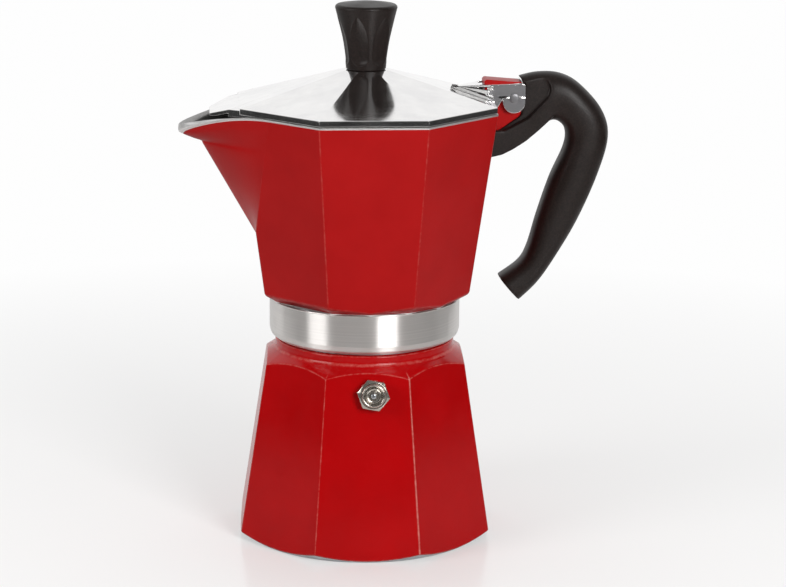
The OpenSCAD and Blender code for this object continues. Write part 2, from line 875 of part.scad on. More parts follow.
// The tab as a solid down to the given levels below its root, knee and tip
module tab(inset, drop, floors) {
  c = tab_corners(inset, drop);
  half = [[c[0], floors[0]], [c[1], floors[0]], [c[2], floors[1]], [c[3], floors[2]]];
  ring = concat(
    [for (h = half) [[h[0][0], -h[0][1], h[0][2]], h[1]]],
    [for (k = [3 : -1 : 0]) half[k]]
  );
  points = concat([for (r = ring) r[0]], [for (r = ring) [r[0][0], r[0][1], r[1]]]);
  top = [[0, 1, 2], [0, 2, 3], [0, 3, 4], [0, 4, 7], [7, 4, 5], [7, 5, 6]];
  sides = [for (i = [0 : 7]) let (j = (i + 1) % 8) each [[i, i + 8, j + 8], [i, j + 8, j]]];
  polyhedron(points, concat(top, sides, [for (f = top) [f[0] + 8, f[2] + 8, f[1] + 8]]));
}

// Opening under the end of the tab, where the coffee leaves. It cuts past the tab's sides.
module tab_window(drop) {
  past = 0.5;

  intersection() {
    tab(-past, drop + 1.5 * past * tan(lid_slope), [lid_z - 9, lid_z - 9, lid_z - 9]);
    translate([-2 * spout_reach - lid_w / 2 - 4.4, -lid_w, lid_z - 20])
      cube([2 * spout_reach, 2 * lid_w, 40]);
  }
}

// Wedge that rises out of the lid towards the ears
module hinge_wedge() {
  start_x = lid_w / 2 - 16.7;
  end_x = hinge_x - 9.3;
  width = 2 * (ear_y + ear_t);
  point = 0.4;

  hull() {
    translate([start_x, -point / 2, lid_top(start_x) - 1])
      cube([point, point, 1.2]);
    translate([end_x, -width / 2, lid_top(end_x) - 1])
      cube([point, width, hinge_z + 5.5 - lid_top(end_x) + 1]);
  }
}

module ear(side) {
  r = ear_d / 2;

  upright(side * (ear_y + ear_t / 2), ear_t)
    union() {
      translate(from_pin(0, -1.4))
        circle(r = r);
      translate(from_pin(3, 4.3))
        circle(r = 1.6);
      polygon([
        from_pin(-9.3, 5.5), from_pin(3, 5.9), from_pin(r, 4.3), from_pin(r, -1.4),
        from_pin(-r, -1.4), from_pin(-4.6, -0.4), from_pin(-6.6, -3.6),
        [hinge_x - 10.6, eave_z - 1.4], [hinge_x - 10.6, eave_z + 3]
      ]);
    }
}

// ---- Handle ----

// Sections of the handle from arm to lower end, measured from the hinge pin:
// inner point, outer point and half the width
handle_sections = [
  [-0.8, -21.2, 2.1, 8.0, arm_w / 2],
  [7.2, -15.9, 10.2, 9.7, arm_w / 2 + 0.3],
  [15.4, -9.9, 19.2, 9.1, handle_w / 2 - 0.7],
  [20, -11.2, 27.2, 4.8, handle_w / 2 - 0.2],
  [21.9, -15.2, 36.2, -5.4, handle_w / 2],
  [20.9, -21.5, 39.1, -16.4, handle_w / 2],
  [15.7, -33.3, 35.2, -31.8, handle_w / 2],
  [10.8, -48.3, 27.4, -50.3, handle_w / 2],
  [7.2, -61.3, 18.9, -65.3, handle_w / 2 - 0.4],
  [3.6, -67.9, 11.6, -76.1, handle_w / 2 - 0.4],
  [-4.5, -73.9, 4, -83.6, handle_w / 2]
];
section_steps = 3;

// Smooth curve through a list of vectors: position t between entries i and i + 1
function curve_at(list, i, t) =
  let (
    a = list[max(i - 1, 0)], b = list[i], c = list[i + 1], d = list[min(i + 2, len(list) - 1)]
  )
    0.5 * (2 * b + (c - a) * t + (2 * a - 5 * b + 4 * c - d) * t * t
      + (3 * b - a - 3 * c + d) * t * t * t);
function smooth(list, steps) = concat(
  [for (i = [0 : len(list) - 2]) for (s = [0 : steps - 1]) curve_at(list, i, s / steps)],
  [list[len(list) - 1]]
);

// Rounded ring of a section, scaled about its middle
function handle_ring(s, scale_by) =
  let (
    inner = from_pin(s[0], s[1]),
    outer = from_pin(s[2], s[3]),
    middle = (inner + outer) / 2,
    reach = (outer - inner) / 2 * scale_by,
    half_w = s[4] * scale_by
  )
    [
      for (j = [0 : 15])
        let (
          a = 360 * j / 16,
          c = sign(cos(a)) * pow(abs(cos(a)), 0.8),
          w = sign(sin(a)) * pow(abs(sin(a)), 0.8)
        )
          [middle[0] + reach[0] * c, -half_w * w, middle[1] + reach[1] * c]
    ];

module handle() {
  sections = smooth(handle_sections, section_steps);
  last = len(sections) - 1;
  low = sections[last];
  high = curve_at(handle_sections, len(handle_sections) - 2, 1 - hollow_depth / 14);
  past = low + (low - sections[last - 1]) * 0.5;

  color(black)
    difference() {
      union() {
        difference() {
          union() {
            loft([for (s = sections) handle_ring(s, 1)]);
            handle_arm();
          }
          lug_pocket();
          ear_scoop(-1);
          ear_scoop(1);
          // Hollow in the lower end
          loft([handle_ring(high, 0.62), handle_ring(mix(high, low, 0.5), 0.72),
            handle_ring(low, 0.74), handle_ring(past, 0.76)]);
        }
        // Tongue held in the lug's slot
        upright(0, tongue_t)
          polygon([
            from_pin(-3.6, -5.6), from_pin(-3.6, 5), from_pin(4, 5), from_pin(6, 3),
            from_pin(6, -5.6)
          ]);
      }
      hinge_bore(pin_d / 2 + fix_fit);
    }
}

// Arm from the grip to the chamber's wall
module handle_arm() {
  low_z = hinge_z - 24.3;
  high_z = hinge_z - 13.2;

  upright(0, arm_w)
    polygon([
      [chamber_facet(low_z) + run_fit, low_z], from_pin(-4.5, -23), from_pin(0.3, -20.6),
      from_pin(5.2, -17.5), from_pin(9.2, -13.9), from_pin(11.2, -9), from_pin(7.2, -4.3),
      from_pin(2.2, -7), from_pin(-5.8, -13.2), [chamber_facet(high_z) + run_fit, high_z]
    ]);
}

// Pocket that fits over the lug, open upwards and towards the pot
module lug_pocket() {
  low_z = hinge_z + lug_face[0][1] - run_fit;

  upright(0, 4 * handle_w)
    polygon(concat(
      [[chamber_facet(low_z) - 5, low_z]],
      [for (p = lug_face) from_pin(p[0] + 1.5 * run_fit, p[1] - sign(2 - p[1]) * run_fit)],
      [from_pin(3.8, 6.6), from_pin(2.1, 8.3), from_pin(2.1, 20), from_pin(-30, 20)]
    ));
}

// Scoop in each side of the handle that leaves room for the lid's ear
module ear_scoop(side) {
  depth = handle_w;
  inner_y = lug_w / 2 + 0.1;

  upright(side * (inner_y + depth / 2), depth)
    hull() {
      translate(from_pin(9.6, 3.4))
        circle(r = 5.2, $fn = 32);
      translate(from_pin(0, 0))
        circle(r = 9.9, $fn = 32);
      translate(from_pin(-4, -10.4))
        circle(r = 2.6, $fn = 32);
    }
}

// ---- Knob ----

// Height of the knob's widest place, below its rounded edge and its crown
knob_edge_z = knob_h - 2.4;

// Radius of the knob's side at height z
function knob_side(z) =
  let (t = z / knob_edge_z)
    knob_foot_d / 2 + 0.2 + (knob_d - knob_foot_d - 0.4) / 2 * (0.52 * t + 0.48 * t * t);

insert_r = 3.5;
insert_h = 12;

module knob() {
  edge_r = 1.3;
  flute_r = 6.5;
  flute_z1 = 4.8;
  flute_z2 = knob_h - 8;
  tilt = atan((knob_side(flute_z2) - knob_side(flute_z1)) / (flute_z2 - flute_z1));
  side = [for (i = [0 : 10]) let (z = mix(0.5, knob_edge_z, i / 10)) [knob_side(z), z]];
  edge = [
    for (a = [15 : 15 : 75])
      [knob_side(knob_edge_z) - edge_r * (1 - cos(a)), knob_edge_z + edge_r * sin(a)]
  ];
  rim_r = knob_side(knob_edge_z) - edge_r;
  crown_z = knob_edge_z + edge_r;
  crown = [
    for (i = [0 : 6]) let (t = i / 6) [rim_r * (1 - t), mix(crown_z, knob_h, sin(90 * t))]
  ];

  color(black)
    translate([0, 0, boss_z])
      difference() {
        rotate_extrude()
          polygon(concat([[0, 0], [knob_foot_d / 2 - 0.3, 0]], side, edge, crown));
        for (i = [0 : knob_flutes - 1])
          rotate([0, 0, knob_turn + 360 * i / knob_flutes])
            translate([knob_side(flute_z1) + flute_r - flute_depth, 0, flute_z1])
              rotate([0, tilt, 0]) {
                cylinder(r = flute_r, h = (flute_z2 - flute_z1) / cos(tilt), $fn = 48);
                sphere(r = flute_r, $fn = 48);
                translate([0, 0, (flute_z2 - flute_z1) / cos(tilt)])
                  sphere(r = flute_r, $fn = 48);
              }
        translate([0, 0, -1])
          cylinder(r = insert_r + fix_fit, h = insert_h + 1.5);
      }
}

module knob_insert() {
  color(brass)
    translate([0, 0, boss_z])
      difference() {
        cylinder(r = insert_r, h = insert_h);
        translate([0, 0, -1])
          cylinder(r = screw_d / 2 + fix_fit, h = insert_h + 2);
      }
}

washer_t = 0.8;
washer_z = boss_z - lid_t / cos(lid_slope) - washer_t - rest_gap;

module knob_washer() {
  color(steel)
    translate([0, 0, washer_z])
      difference() {
        cylinder(r = screw_d / 2 + 3, h = washer_t);
        translate([0, 0, -1])
          cylinder(r = screw_d / 2 + run_fit, h = washer_t + 2);
      }
}

module knob_screw() {
  head_h = 2.2;
  thread_in = 9;
  slot_w = 1;
  slot_depth = 1.1;

  color(steel)
    difference() {
      union() {
        translate([0, 0, washer_z - head_h])
          cylinder(r1 = screw_d / 2 + 1.2, r2 = screw_d / 2 + 1.9, h = head_h);
        translate([0, 0, washer_z - embed])
          cylinder(d = screw_d, h = boss_z + thread_in - washer_z + embed);
      }
      translate([-screw_d * 2, -slot_w / 2, washer_z - head_h - 1])
        cube([screw_d * 4, slot_w, slot_depth + 1]);
    }
}

boiler();
valve_washer();
valve_body();
valve_cap();
valve_piston();
piston_seal();
valve_spring();
funnel_basket();
funnel_stem();
funnel_strainer();
gasket();
filter_plate();
collector();
handle();
hinge_pin();
lid();
knob();
knob_insert();
knob_washer();
knob_screw();
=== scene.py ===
import math

import bmesh
import bpy
import numpy as np
from mathutils import Matrix, Vector, geometry


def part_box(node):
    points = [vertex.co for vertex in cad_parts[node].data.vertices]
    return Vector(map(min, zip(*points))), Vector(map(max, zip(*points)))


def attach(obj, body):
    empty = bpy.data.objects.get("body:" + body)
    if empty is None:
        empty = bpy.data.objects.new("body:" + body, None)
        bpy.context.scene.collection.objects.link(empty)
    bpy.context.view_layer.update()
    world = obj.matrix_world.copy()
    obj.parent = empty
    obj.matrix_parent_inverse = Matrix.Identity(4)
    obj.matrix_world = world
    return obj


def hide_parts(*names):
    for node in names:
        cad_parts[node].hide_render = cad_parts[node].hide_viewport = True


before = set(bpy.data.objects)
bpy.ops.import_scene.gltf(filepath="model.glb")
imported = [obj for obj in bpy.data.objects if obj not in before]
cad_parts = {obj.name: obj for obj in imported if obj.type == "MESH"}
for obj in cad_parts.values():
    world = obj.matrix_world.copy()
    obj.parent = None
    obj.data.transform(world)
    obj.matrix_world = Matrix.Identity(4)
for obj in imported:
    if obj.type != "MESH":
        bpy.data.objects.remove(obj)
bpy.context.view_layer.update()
scene = bpy.context.scene

# ---- Camera ----
# A long lens a metre away, a little above the lid and nearly level with the front facet.
# It is turned about its own upright axis to frame the whole pot, so that it needs no shift.

camera_data = bpy.data.cameras.new("camera")
camera = bpy.data.objects.new("camera", camera_data)
scene.collection.objects.link(camera)
camera_data.sensor_width = 36
camera_data.lens = 118.9
camera_data.clip_start = 0.05
camera_data.clip_end = 50
look = Vector((0.07522, 0.96909, -0.23496)).normalized()
upward = Vector((0.00970, 0.23491, 0.97197)).normalized()
sideways = look.cross(upward)
camera.matrix_world = Matrix.Translation((-0.06795, -1.02467, 0.34642)) @ Matrix(
    (sideways, upward, -look)
).transposed().to_4x4()
scene.camera = camera

# ---- Boiler ----
# The water boiler is cast aluminium: eight flat facets under a coned shoulder, on a small
# bevel. The outside is painted red by spray, up to and with the plain ring below the
# thread. The foot's bevel, the thread and the inside are bare metal.

BOILER_HALF = 51.0
BOILER_TILT = math.radians(8.6)
BOILER_LEAN = math.tan(BOILER_TILT)
BOILER_TURN = math.radians(-1.8)
FOOT_R, FOOT_W = 49.4, 14
FOOT_SLOPE = math.tan(math.radians(34))
SHOULDER_ANGLE = math.radians(33)
SHOULDER_SLOPE = math.tan(SHOULDER_ANGLE)
NECK_CREASE = 77.4
RING_R = 36.3
RING_TOP = 81.2
NECK_R = 34.2
MOUTH_R = 31.0
MOUTH_TOP = 93.0
BOILER_WALL, BOILER_FLOOR = 2.65, 3.5
FACET_HALF = math.radians(22.5)


def linear(code):
    """Turns an sRGB hex colour into the linear colour that a shader takes."""
    shares = [int(code[i : i + 2], 16) / 255 for i in (1, 3, 5)]
    return [s / 12.92 if s <= 0.04045 else ((s + 0.055) / 1.055) ** 2.4 for s in shares] + [1]


def node(material, kind, sockets=(), **settings):
    """Adds one node. sockets holds values or output sockets, by input name or number."""
    made = material.node_tree.nodes.new("ShaderNode" + kind)
    for name, value in settings.items():
        setattr(made, name, value)
    for name, value in dict(sockets).items():
        if isinstance(value, bpy.types.NodeSocket):
            material.node_tree.links.new(value, made.inputs[name])
        else:
            made.inputs[name].default_value = value
    return made


def finish_material(name, **values):
    """A new material with its surface shader, whose sockets get the values."""
    made = bpy.data.materials.new(name)
    made.use_nodes = True
    shader = made.node_tree.nodes["Principled BSDF"]
    for socket, value in values.items():
        shader.inputs[socket.replace("_", " ")].default_value = value
    return made, shader


def connect(material, output, shader, name):
    material.node_tree.links.new(output, shader.inputs[name])


def per_mm(width):
    """Scale of a pattern whose marks are this many millimetres wide."""
    return 1000 / width


def uneven(material, shader, pattern, spread=(0.3, 0.7), tones=None, gloss=None, depth=0, reach=0):
    """Lets a pattern change a surface. Over a spread of the pattern's values it goes from the
    first tone and roughness to the second. A depth gives it a height, with a reach in mm."""
    if tones:
        tone = node(material, "ValToRGB", {"Fac": pattern})
        for stop, colour, place in zip(tone.color_ramp.elements, tones, spread):
            stop.color, stop.position = colour, place
        connect(material, tone.outputs["Color"], shader, "Base Color")
    if gloss:
        limits = {"From Min": spread[0], "From Max": spread[1], "To Min": gloss[0], "To Max": gloss[1]}
        dull = node(material, "MapRange", {"Value": pattern, **limits})
        connect(material, dull.outputs[0], shader, "Roughness")
    if depth:
        bump = node(material, "Bump", {"Height": pattern, "Strength": depth, "Distance": reach / 1000})
        connect(material, bump.outputs[0], shader, "Normal")


def sprayed_red(name, deep, bright, gloss, sheen, peel, pale_edge_share):
    """Heat-proof enamel sprayed on cast aluminium: a slight orange peel a millimetre or two
    wide, cloudy depth of colour over centimetres, and a paler colour along the edges that
    is partly thinner, worn paint and partly a painted highlight."""
    made, shader = finish_material(name, Roughness=gloss, IOR=1.5, Specular_IOR_Level=sheen)
    place = node(made, "TexCoord").outputs["Object"]
    clouds = node(
        made, "TexNoise", {"Vector": place, "Scale": per_mm(26.3), "Detail": 4, "Roughness": 0.6}
    )
    colour = node(made, "ValToRGB", {"Fac": clouds.outputs["Fac"]})
    colour.color_ramp.elements[0].color = linear(deep)
    colour.color_ramp.elements[0].position = 0.36
    colour.color_ramp.elements[1].color = linear(bright)
    colour.color_ramp.elements[1].position = 0.66
    # Paler colour along the edges, broken up in patches of about 2 mm: partly worn, thin paint and
    # partly a painted highlight
    wear_and_highlight = node(made, "Attribute", attribute_name="edge")
    patches = node(
        made, "TexNoise", {"Vector": place, "Scale": per_mm(2.381), "Detail": 5, "Roughness": 0.7}
    )
    pale_edge = node(
        made, "Math", {0: wear_and_highlight.outputs["Fac"], 1: patches.outputs["Fac"]}, operation="MULTIPLY"
    )
    share = node(
        made,
        "MapRange",
        {"Value": pale_edge.outputs[0], "From Min": 0.2, "From Max": 0.55, "To Max": pale_edge_share},
    )
    pale_edge_mix = node(
        made,
        "Mix",
        {"Factor": share.outputs[0], 6: colour.outputs["Color"], 7: linear("#D98A80")},
        data_type="RGBA",
    )
    connect(made, pale_edge_mix.outputs[2], shader, "Base Color")
    # Dull and shiny clouds about a centimetre wide
    haze = node(made, "TexNoise", {"Vector": place, "Scale": per_mm(9.09), "Detail": 3})
    uneven(made, shader, haze.outputs["Fac"], gloss=(gloss - 0.02, gloss + 0.03))
    skin = node(
        made, "TexNoise", {"Vector": place, "Scale": per_mm(1.4286), "Detail": 3, "Roughness": 0.55}
    )
    uneven(made, shader, skin.outputs["Fac"], depth=peel, reach=0.12)
    return made


def darker(colour, share):
    """A hex colour and, before it, a share of its light."""
    base = linear(colour)
    return [c * share for c in base[:3]] + [1], base


def bare_metal(name, colour, gloss, grain_mm, depth):
    """Aluminium left bare, rubbed down or as it was stamped: soft grey with a fine grain."""
    made, shader = finish_material(name, Metallic=1.0, Roughness=gloss)
    grain = node(
        made,
        "TexNoise",
        {"Vector": node(made, "TexCoord").outputs["Object"], "Scale": per_mm(grain_mm), "Detail": 6,
         "Roughness": 0.65},
    )
    uneven(
        made, shader, grain.outputs["Fac"], tones=darker(colour, 0.86),
        gloss=(gloss - 0.06, gloss + 0.08), depth=depth, reach=0.08,
    )
    return made


def piece(name, points, faces, materials, body, marks=None, edges=None):
    """A mesh object in millimetres that rides on a body. marks are the faces' material
    numbers, and edges says how much of an edge each point is."""
    mesh = bpy.data.meshes.new(name)
    mesh.from_pydata([[c / 1000 for c in p] for p in points], [], faces)
    for material in materials:
        mesh.materials.append(material)
    if marks is not None:
        mesh.polygons.foreach_set("material_index", marks)
    if edges is not None:
        mesh.attributes.new("edge", "FLOAT", "POINT").data.foreach_set("value", edges)
    shape = bmesh.new()
    shape.from_mesh(mesh)
    bmesh.ops.recalc_face_normals(shape, faces=shape.faces)
    shape.to_mesh(mesh)
    shape.free()
    mesh.polygons.foreach_set("use_smooth", [True] * len(mesh.polygons))
    made = bpy.data.objects.new(name, mesh)
    scene.collection.objects.link(made)
    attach(made, body)
    return made


def even_shading(made):
    """Keeps large flat faces flat and lets the small rounded edges carry the highlights."""
    weights = made.modifiers.new("even_shading", "WEIGHTED_NORMAL")
    weights.keep_sharp = True
    return made


def rounded(corners, steps=4):
    """Points of an open line through corners, each (point, radius, mark), with an arc of the
    radius at each. Returns the points, the mark of the strip after each, and a share that is
    1 in the middle of an arc."""
    points, marks, shares = [], [], []
    for i, (corner, radius, mark) in enumerate(corners):
        p = np.array(corner, float)
        if radius == 0:
            points.append(p)
            marks.append(mark)
            shares.append(0)
            continue
        a = np.array(corners[i - 1][0], float) - p
        b = np.array(corners[(i + 1) % len(corners)][0], float) - p
        long_a, long_b = np.linalg.norm(a), np.linalg.norm(b)
        half = math.acos(max(-1, min(1, a @ b / long_a / long_b))) / 2
        cut = min(radius / math.tan(half), 0.45 * long_a, 0.45 * long_b)
        start, end = p + a / long_a * cut, p + b / long_b * cut
        weight = math.sin(half)
        for k in range(steps + 1):
            s = k / steps
            w = (1 - s) ** 2 + 2 * s * (1 - s) * weight + s * s
            points.append(((1 - s) ** 2 * start + 2 * s * (1 - s) * weight * p + s * s * end) / w)
            marks.append(mark)
            shares.append(4 * s * (1 - s))
    return points, marks, shares


# How pale each corner is painted, from the one after the +X facet round by +Y: partly wear
# and partly a painted highlight, strongest on the front facet's right edge
EDGE_WEAR_AND_HIGHLIGHT = (0.5, 0.35, 0.5, 0.45, 0.55, 0.6, 1.0, 0.5)


def flat_columns(wear_and_highlight, corner, facets, arc):
    """Directions round a polygon whose flats lie 1 from its middle: angle, distance and how
    much of an edge each is. It has as many corners as there are shares of paler edge colour
    (partly wear, partly painted highlight), with the given radius."""
    half = math.pi / len(wear_and_highlight)
    flat = (1 - corner) * math.tan(half)
    columns = []
    for k, pale_edge in enumerate(wear_and_highlight):
        turn = 2 * half * k
        for j in range(facets + 1):
            y = flat * (2 * j / facets - 1)
            columns.append((turn + math.atan2(y, 1), math.hypot(1, y), 0))
        for j in range(1, arc):
            b = 2 * half * j / arc
            x = (1 - corner) + corner * math.cos(b)
            y = flat + corner * math.sin(b)
            edge = pale_edge * math.sin(math.pi * j / arc)
            columns.append((turn + math.atan2(y, x), math.hypot(x, y), edge))
    return columns


def round_columns(count):
    return [(2 * math.pi * i / count, 1, 0) for i in range(count)]


def wrap(name, columns, profile, materials, body, turn=0, steps=4, closed=False):
    """A piece whose upright section is known in each direction: profile takes a direction's
    distance and gives its corners. A section that starts and ends on the axis is a solid."""
    points, edges, marks, faces = [], [], [], []
    round_line = rounded(profile(1), steps)[0]
    for angle, distance, edge in columns:
        line, strips, shares = rounded(profile(distance), steps)
        for (r, z), (round_r, _), share in zip(line, round_line, shares):
            points.append((r * math.cos(angle + turn), r * math.sin(angle + turn), z))
            # An edge between facets ends where the section turns round. The section's rounds get a
            # share too; red enamel paints these shares paler, partly as wear and partly as painted
            # highlight.
            edges.append(max(edge if r - round_r > 0.3 else 0, 0.6 * share))
    n, m = len(columns), len(points) // len(columns)
    for i in range(n):
        for j in range(m if closed else m - 1):
            a, b = i * m + j, ((i + 1) % n) * m + j
            c, d = ((i + 1) % n) * m + (j + 1) % m, i * m + (j + 1) % m
            faces.append((a, b, c, d))
            marks.append(strips[j])
    if not closed:
        for j in (0, m - 1):
            points.append((0, 0, points[j][2]))
            edges.append(0)
            for i in range(n):
                faces.append((i * m + j, ((i + 1) % n) * m + j, len(points) - 1))
                marks.append(strips[j])
    return piece(name, points, faces, materials, body, marks, edges)


def boiler_section(k):
    """Section of the boiler where its facets lie k times their shortest distance out. Strips
    marked 0 are painted and those marked 1 are bare."""
    t = BOILER_LEAN * FOOT_SLOPE
    bevel_r = k * (BOILER_HALF + FOOT_R * t) / (1 + k * t)
    s = SHOULDER_SLOPE * BOILER_LEAN
    top_r = k * (BOILER_HALF - NECK_CREASE * BOILER_LEAN - RING_R * s) / (1 - k * s)
    inner_half = BOILER_HALF - BOILER_WALL
    inner_z = NECK_CREASE - BOILER_WALL * math.cos(SHOULDER_ANGLE)
    inner_ring = RING_R - BOILER_WALL * math.sin(SHOULDER_ANGLE)
    in_r = k * (inner_half - inner_z * BOILER_LEAN - inner_ring * s) / (1 - k * s)
    return [
        ((FOOT_R - FOOT_W, 0), 0, 1),
        ((FOOT_R, 0), 0.5, 1),
        ((bevel_r, (bevel_r - FOOT_R) * FOOT_SLOPE), 0.8, 0),
        ((top_r, NECK_CREASE - (top_r - RING_R) * SHOULDER_SLOPE), 1.3, 0),
        ((RING_R, NECK_CREASE), 2.6, 0),
        ((RING_R, RING_TOP), 0.8, 0),
        ((NECK_R, RING_TOP), 0, 1),
        ((NECK_R, MOUTH_TOP), 0.5, 1),
        ((MOUTH_R, MOUTH_TOP), 0.5, 1),
        ((MOUTH_R, inner_z + (inner_ring - MOUTH_R) * SHOULDER_SLOPE), 0, 1),
        ((in_r, inner_z - (in_r - inner_ring) * SHOULDER_SLOPE), 1, 1),
        ((k * (inner_half - BOILER_FLOOR * BOILER_LEAN), BOILER_FLOOR), 2, 1),
        ((20, BOILER_FLOOR), 0, 1),
    ]


boiler_red = sprayed_red("red_enamel_boiler", "#AA0104", "#B40206", 0.16, 0.2, 0.1, 0.75)
cast_metal = bare_metal("cast_aluminium", "#C4C5C8", 0.34, 1.111, 0.25)
boiler = wrap(
    "boiler_casting",
    flat_columns(EDGE_WEAR_AND_HIGHLIGHT, 0.032, 10, 6),
    boiler_section,
    [boiler_red, cast_metal],
    "boiler",
    BOILER_TURN,
)
even_shading(boiler)
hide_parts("boiler")

THREAD_PITCH = 2.5
THREAD_START = 83.45
THREAD_TURNS = 2.5
THREAD_STEPS = 96


def walls(count, n):
    """Faces between rings of n points each."""
    rows = [[(i * n + j, i * n + (j + 1) % n) for j in range(n)] for i in range(count - 1)]
    return [(a, b, b + n, a + n) for row in rows for a, b in row]


def tube(rows, label="blank", body="collector"):
    """A solid through rings of as many points each, closed at both ends."""
    n = len(rows[0])
    points = [p for row in rows for p in row]
    ends = [tuple(range(n)), tuple(range(len(points) - n, len(points)))]
    return piece(label, points, ends + walls(len(rows), n), [], body)


def coat(made, *materials):
    """Gives a piece its finishes in place of those that it has."""
    made.data.materials.clear()
    for material in materials:
        made.data.materials.append(material)


def thread(name, foot_r, crest_r, start, body):
    """A rounded screw thread of THREAD_TURNS turns, cut on a casting."""
    count = int(THREAD_TURNS * THREAD_STEPS)
    rows = []
    for i in range(count + 1):
        a = start + 2 * math.pi * i / THREAD_STEPS
        z = THREAD_START + THREAD_PITCH * i / THREAD_STEPS
        # The ridge fades in and out over the first and last twelfth of a turn
        fade = min(1, i / 8, (count - i) / 8)
        crest = foot_r + (crest_r - foot_r) * fade
        form = [(foot_r, -1.0), *((crest, dz) for dz in (-0.38, -0.2, 0.2, 0.38)), (foot_r, 1.0)]
        rows.append([(r * math.cos(a), r * math.sin(a), z + dz) for r, dz in form])
    made = tube(rows, name, body)
    coat(made, cast_metal)
    return made


thread("neck_thread", NECK_R - 0.05, 35.15, 0, "boiler")

# ---- Safety valve ----
# A brass body with a hexagon is screwed through the boiler's wall onto a sealing washer.
# Its open end holds a pressed steel cap, and the steel pin of the piston stands out of it.

VALVE_X, VALVE_Z = 2.2, 67
VALVE_AT = Matrix.Rotation(BOILER_TURN, 4, "Z") @ Matrix.Translation(
    (VALVE_X, -(BOILER_HALF - VALVE_Z * BOILER_LEAN), VALVE_Z)
) @ Matrix.Rotation(math.pi / 2 - BOILER_TILT, 4, "X")
HEX_HALF = 5.75
HEX_LOW, HEX_TOP, VALVE_TOP = 0.8, 4.6, 6.0


def at_valve(made):
    """Takes a piece made round the Z axis to the valve's axis."""
    made.data.transform(Matrix.Scale(0.001, 4) @ VALVE_AT @ Matrix.Scale(1000, 4))
    return made


def turned_metal(name, colour, gloss, groove_mm, stretch=0.0):
    """Metal turned on a lathe: tiny grooves round the axis, drawn as a ripple with its
    height, that stretch each highlight across them."""
    made, shader = finish_material(
        name, Metallic=1.0, Roughness=gloss, Anisotropic=stretch, Anisotropic_Rotation=0.25
    )
    if stretch:
        around = node(made, "Tangent", direction_type="RADIAL", axis="Z")
        connect(made, around.outputs[0], shader, "Tangent")
    # A groove is a third of a metre long before it changes, so that it runs right round
    place = node(
        made,
        "Mapping",
        {"Vector": node(made, "TexCoord").outputs["Object"], "Scale": (3, 3, per_mm(groove_mm))},
    )
    grooves = node(made, "TexNoise", {"Vector": place.outputs[0], "Scale": 1, "Detail": 4})
    uneven(
        made, shader, grooves.outputs["Fac"], tones=darker(colour, 0.88),
        gloss=(gloss - 0.03, gloss + 0.03), depth=0.15, reach=0.05,
    )
    return made


valve_metal = turned_metal("nickelled_brass", "#BDB6AC", 0.2, 0.3846)
nut = wrap(
    "valve_hexagon",
    flat_columns([1] * 6, 0.06, 4, 4),
    lambda k: [
        ((2.6, -5.4), 0, 0),
        ((4.0, -5.4), 0.3, 0),
        ((4.0, HEX_LOW), 0, 0),
        ((HEX_HALF * k - 0.3, HEX_LOW), 0, 0),
        ((HEX_HALF * k, HEX_LOW + 0.3), 0.2, 0),
        ((HEX_HALF * k, HEX_TOP - max(0, HEX_HALF * k - 5.55) * 0.62), 0.25, 0),
        ((5.35, HEX_TOP), 0.2, 0),
        ((4.9, HEX_TOP), 0, 0),
    ],
    [valve_metal],
    "boiler",
    math.radians(20),
    3,
)
collar_ring = wrap(
    "valve_mouth_ring",
    round_columns(64),
    lambda k: [
        ((4.75, 4.2), 0, 0), ((4.75, 5.2), 0.3, 0), ((4.5, VALVE_TOP), 0.4, 0),
        ((3.95, VALVE_TOP), 0.4, 0), ((3.6, 5.3), 0.2, 0), ((3.6, 3.2), 0, 0), ((2.65, 3.2), 0, 0),
        ((2.65, -4.2), 0, 0),
    ],
    [valve_metal],
    "boiler",
    steps=3,
)
for made in (nut, collar_ring):
    at_valve(made)
    even_shading(made)
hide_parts("valve_body")

cap = wrap(
    "valve_cap_disc",
    round_columns(64),
    lambda k: [
        ((1.75, 4.42), 0, 0), ((3.3, 4.42), 0, 0), ((3.25, 5.0), 0.25, 0), ((2.85, 5.3), 0.3, 0),
        ((2.3, 5.2), 0.3, 0), ((1.85, 4.8), 0.2, 0),
    ],
    [valve_metal],
    "boiler",
    steps=3,
    closed=True,
)
at_valve(cap)
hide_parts("valve_cap")

steel, steel_shader = finish_material(
    "drawn_steel", Base_Color=linear("#B4B7BA"), Metallic=1.0, Roughness=0.22
)
# Drawn wire and pin stock: fine scratches half a millimetre apart
scratches = node(
    steel,
    "TexNoise",
    {"Vector": node(steel, "TexCoord").outputs["Object"], "Scale": per_mm(0.5556), "Detail": 5},
)
uneven(steel, steel_shader, scratches.outputs["Fac"], gloss=(0.16, 0.32))

pin_tip = wrap(
    "valve_pin",
    round_columns(40),
    lambda k: [
        ((0.3, -3.8), 0, 0), ((2.4, -3.8), 0, 0), ((2.4, -3.0), 0, 0), ((1.4, -3.0), 0, 0),
        ((1.4, 2.85), 0, 0), ((1.1, 2.85), 0, 0), ((1.1, 6.7), 0.5, 0), ((0.3, 6.74), 0, 0),
    ],
    [steel],
    "valve_piston",
    steps=3,
)
at_valve(pin_tip)
even_shading(pin_tip)
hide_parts("valve_piston")

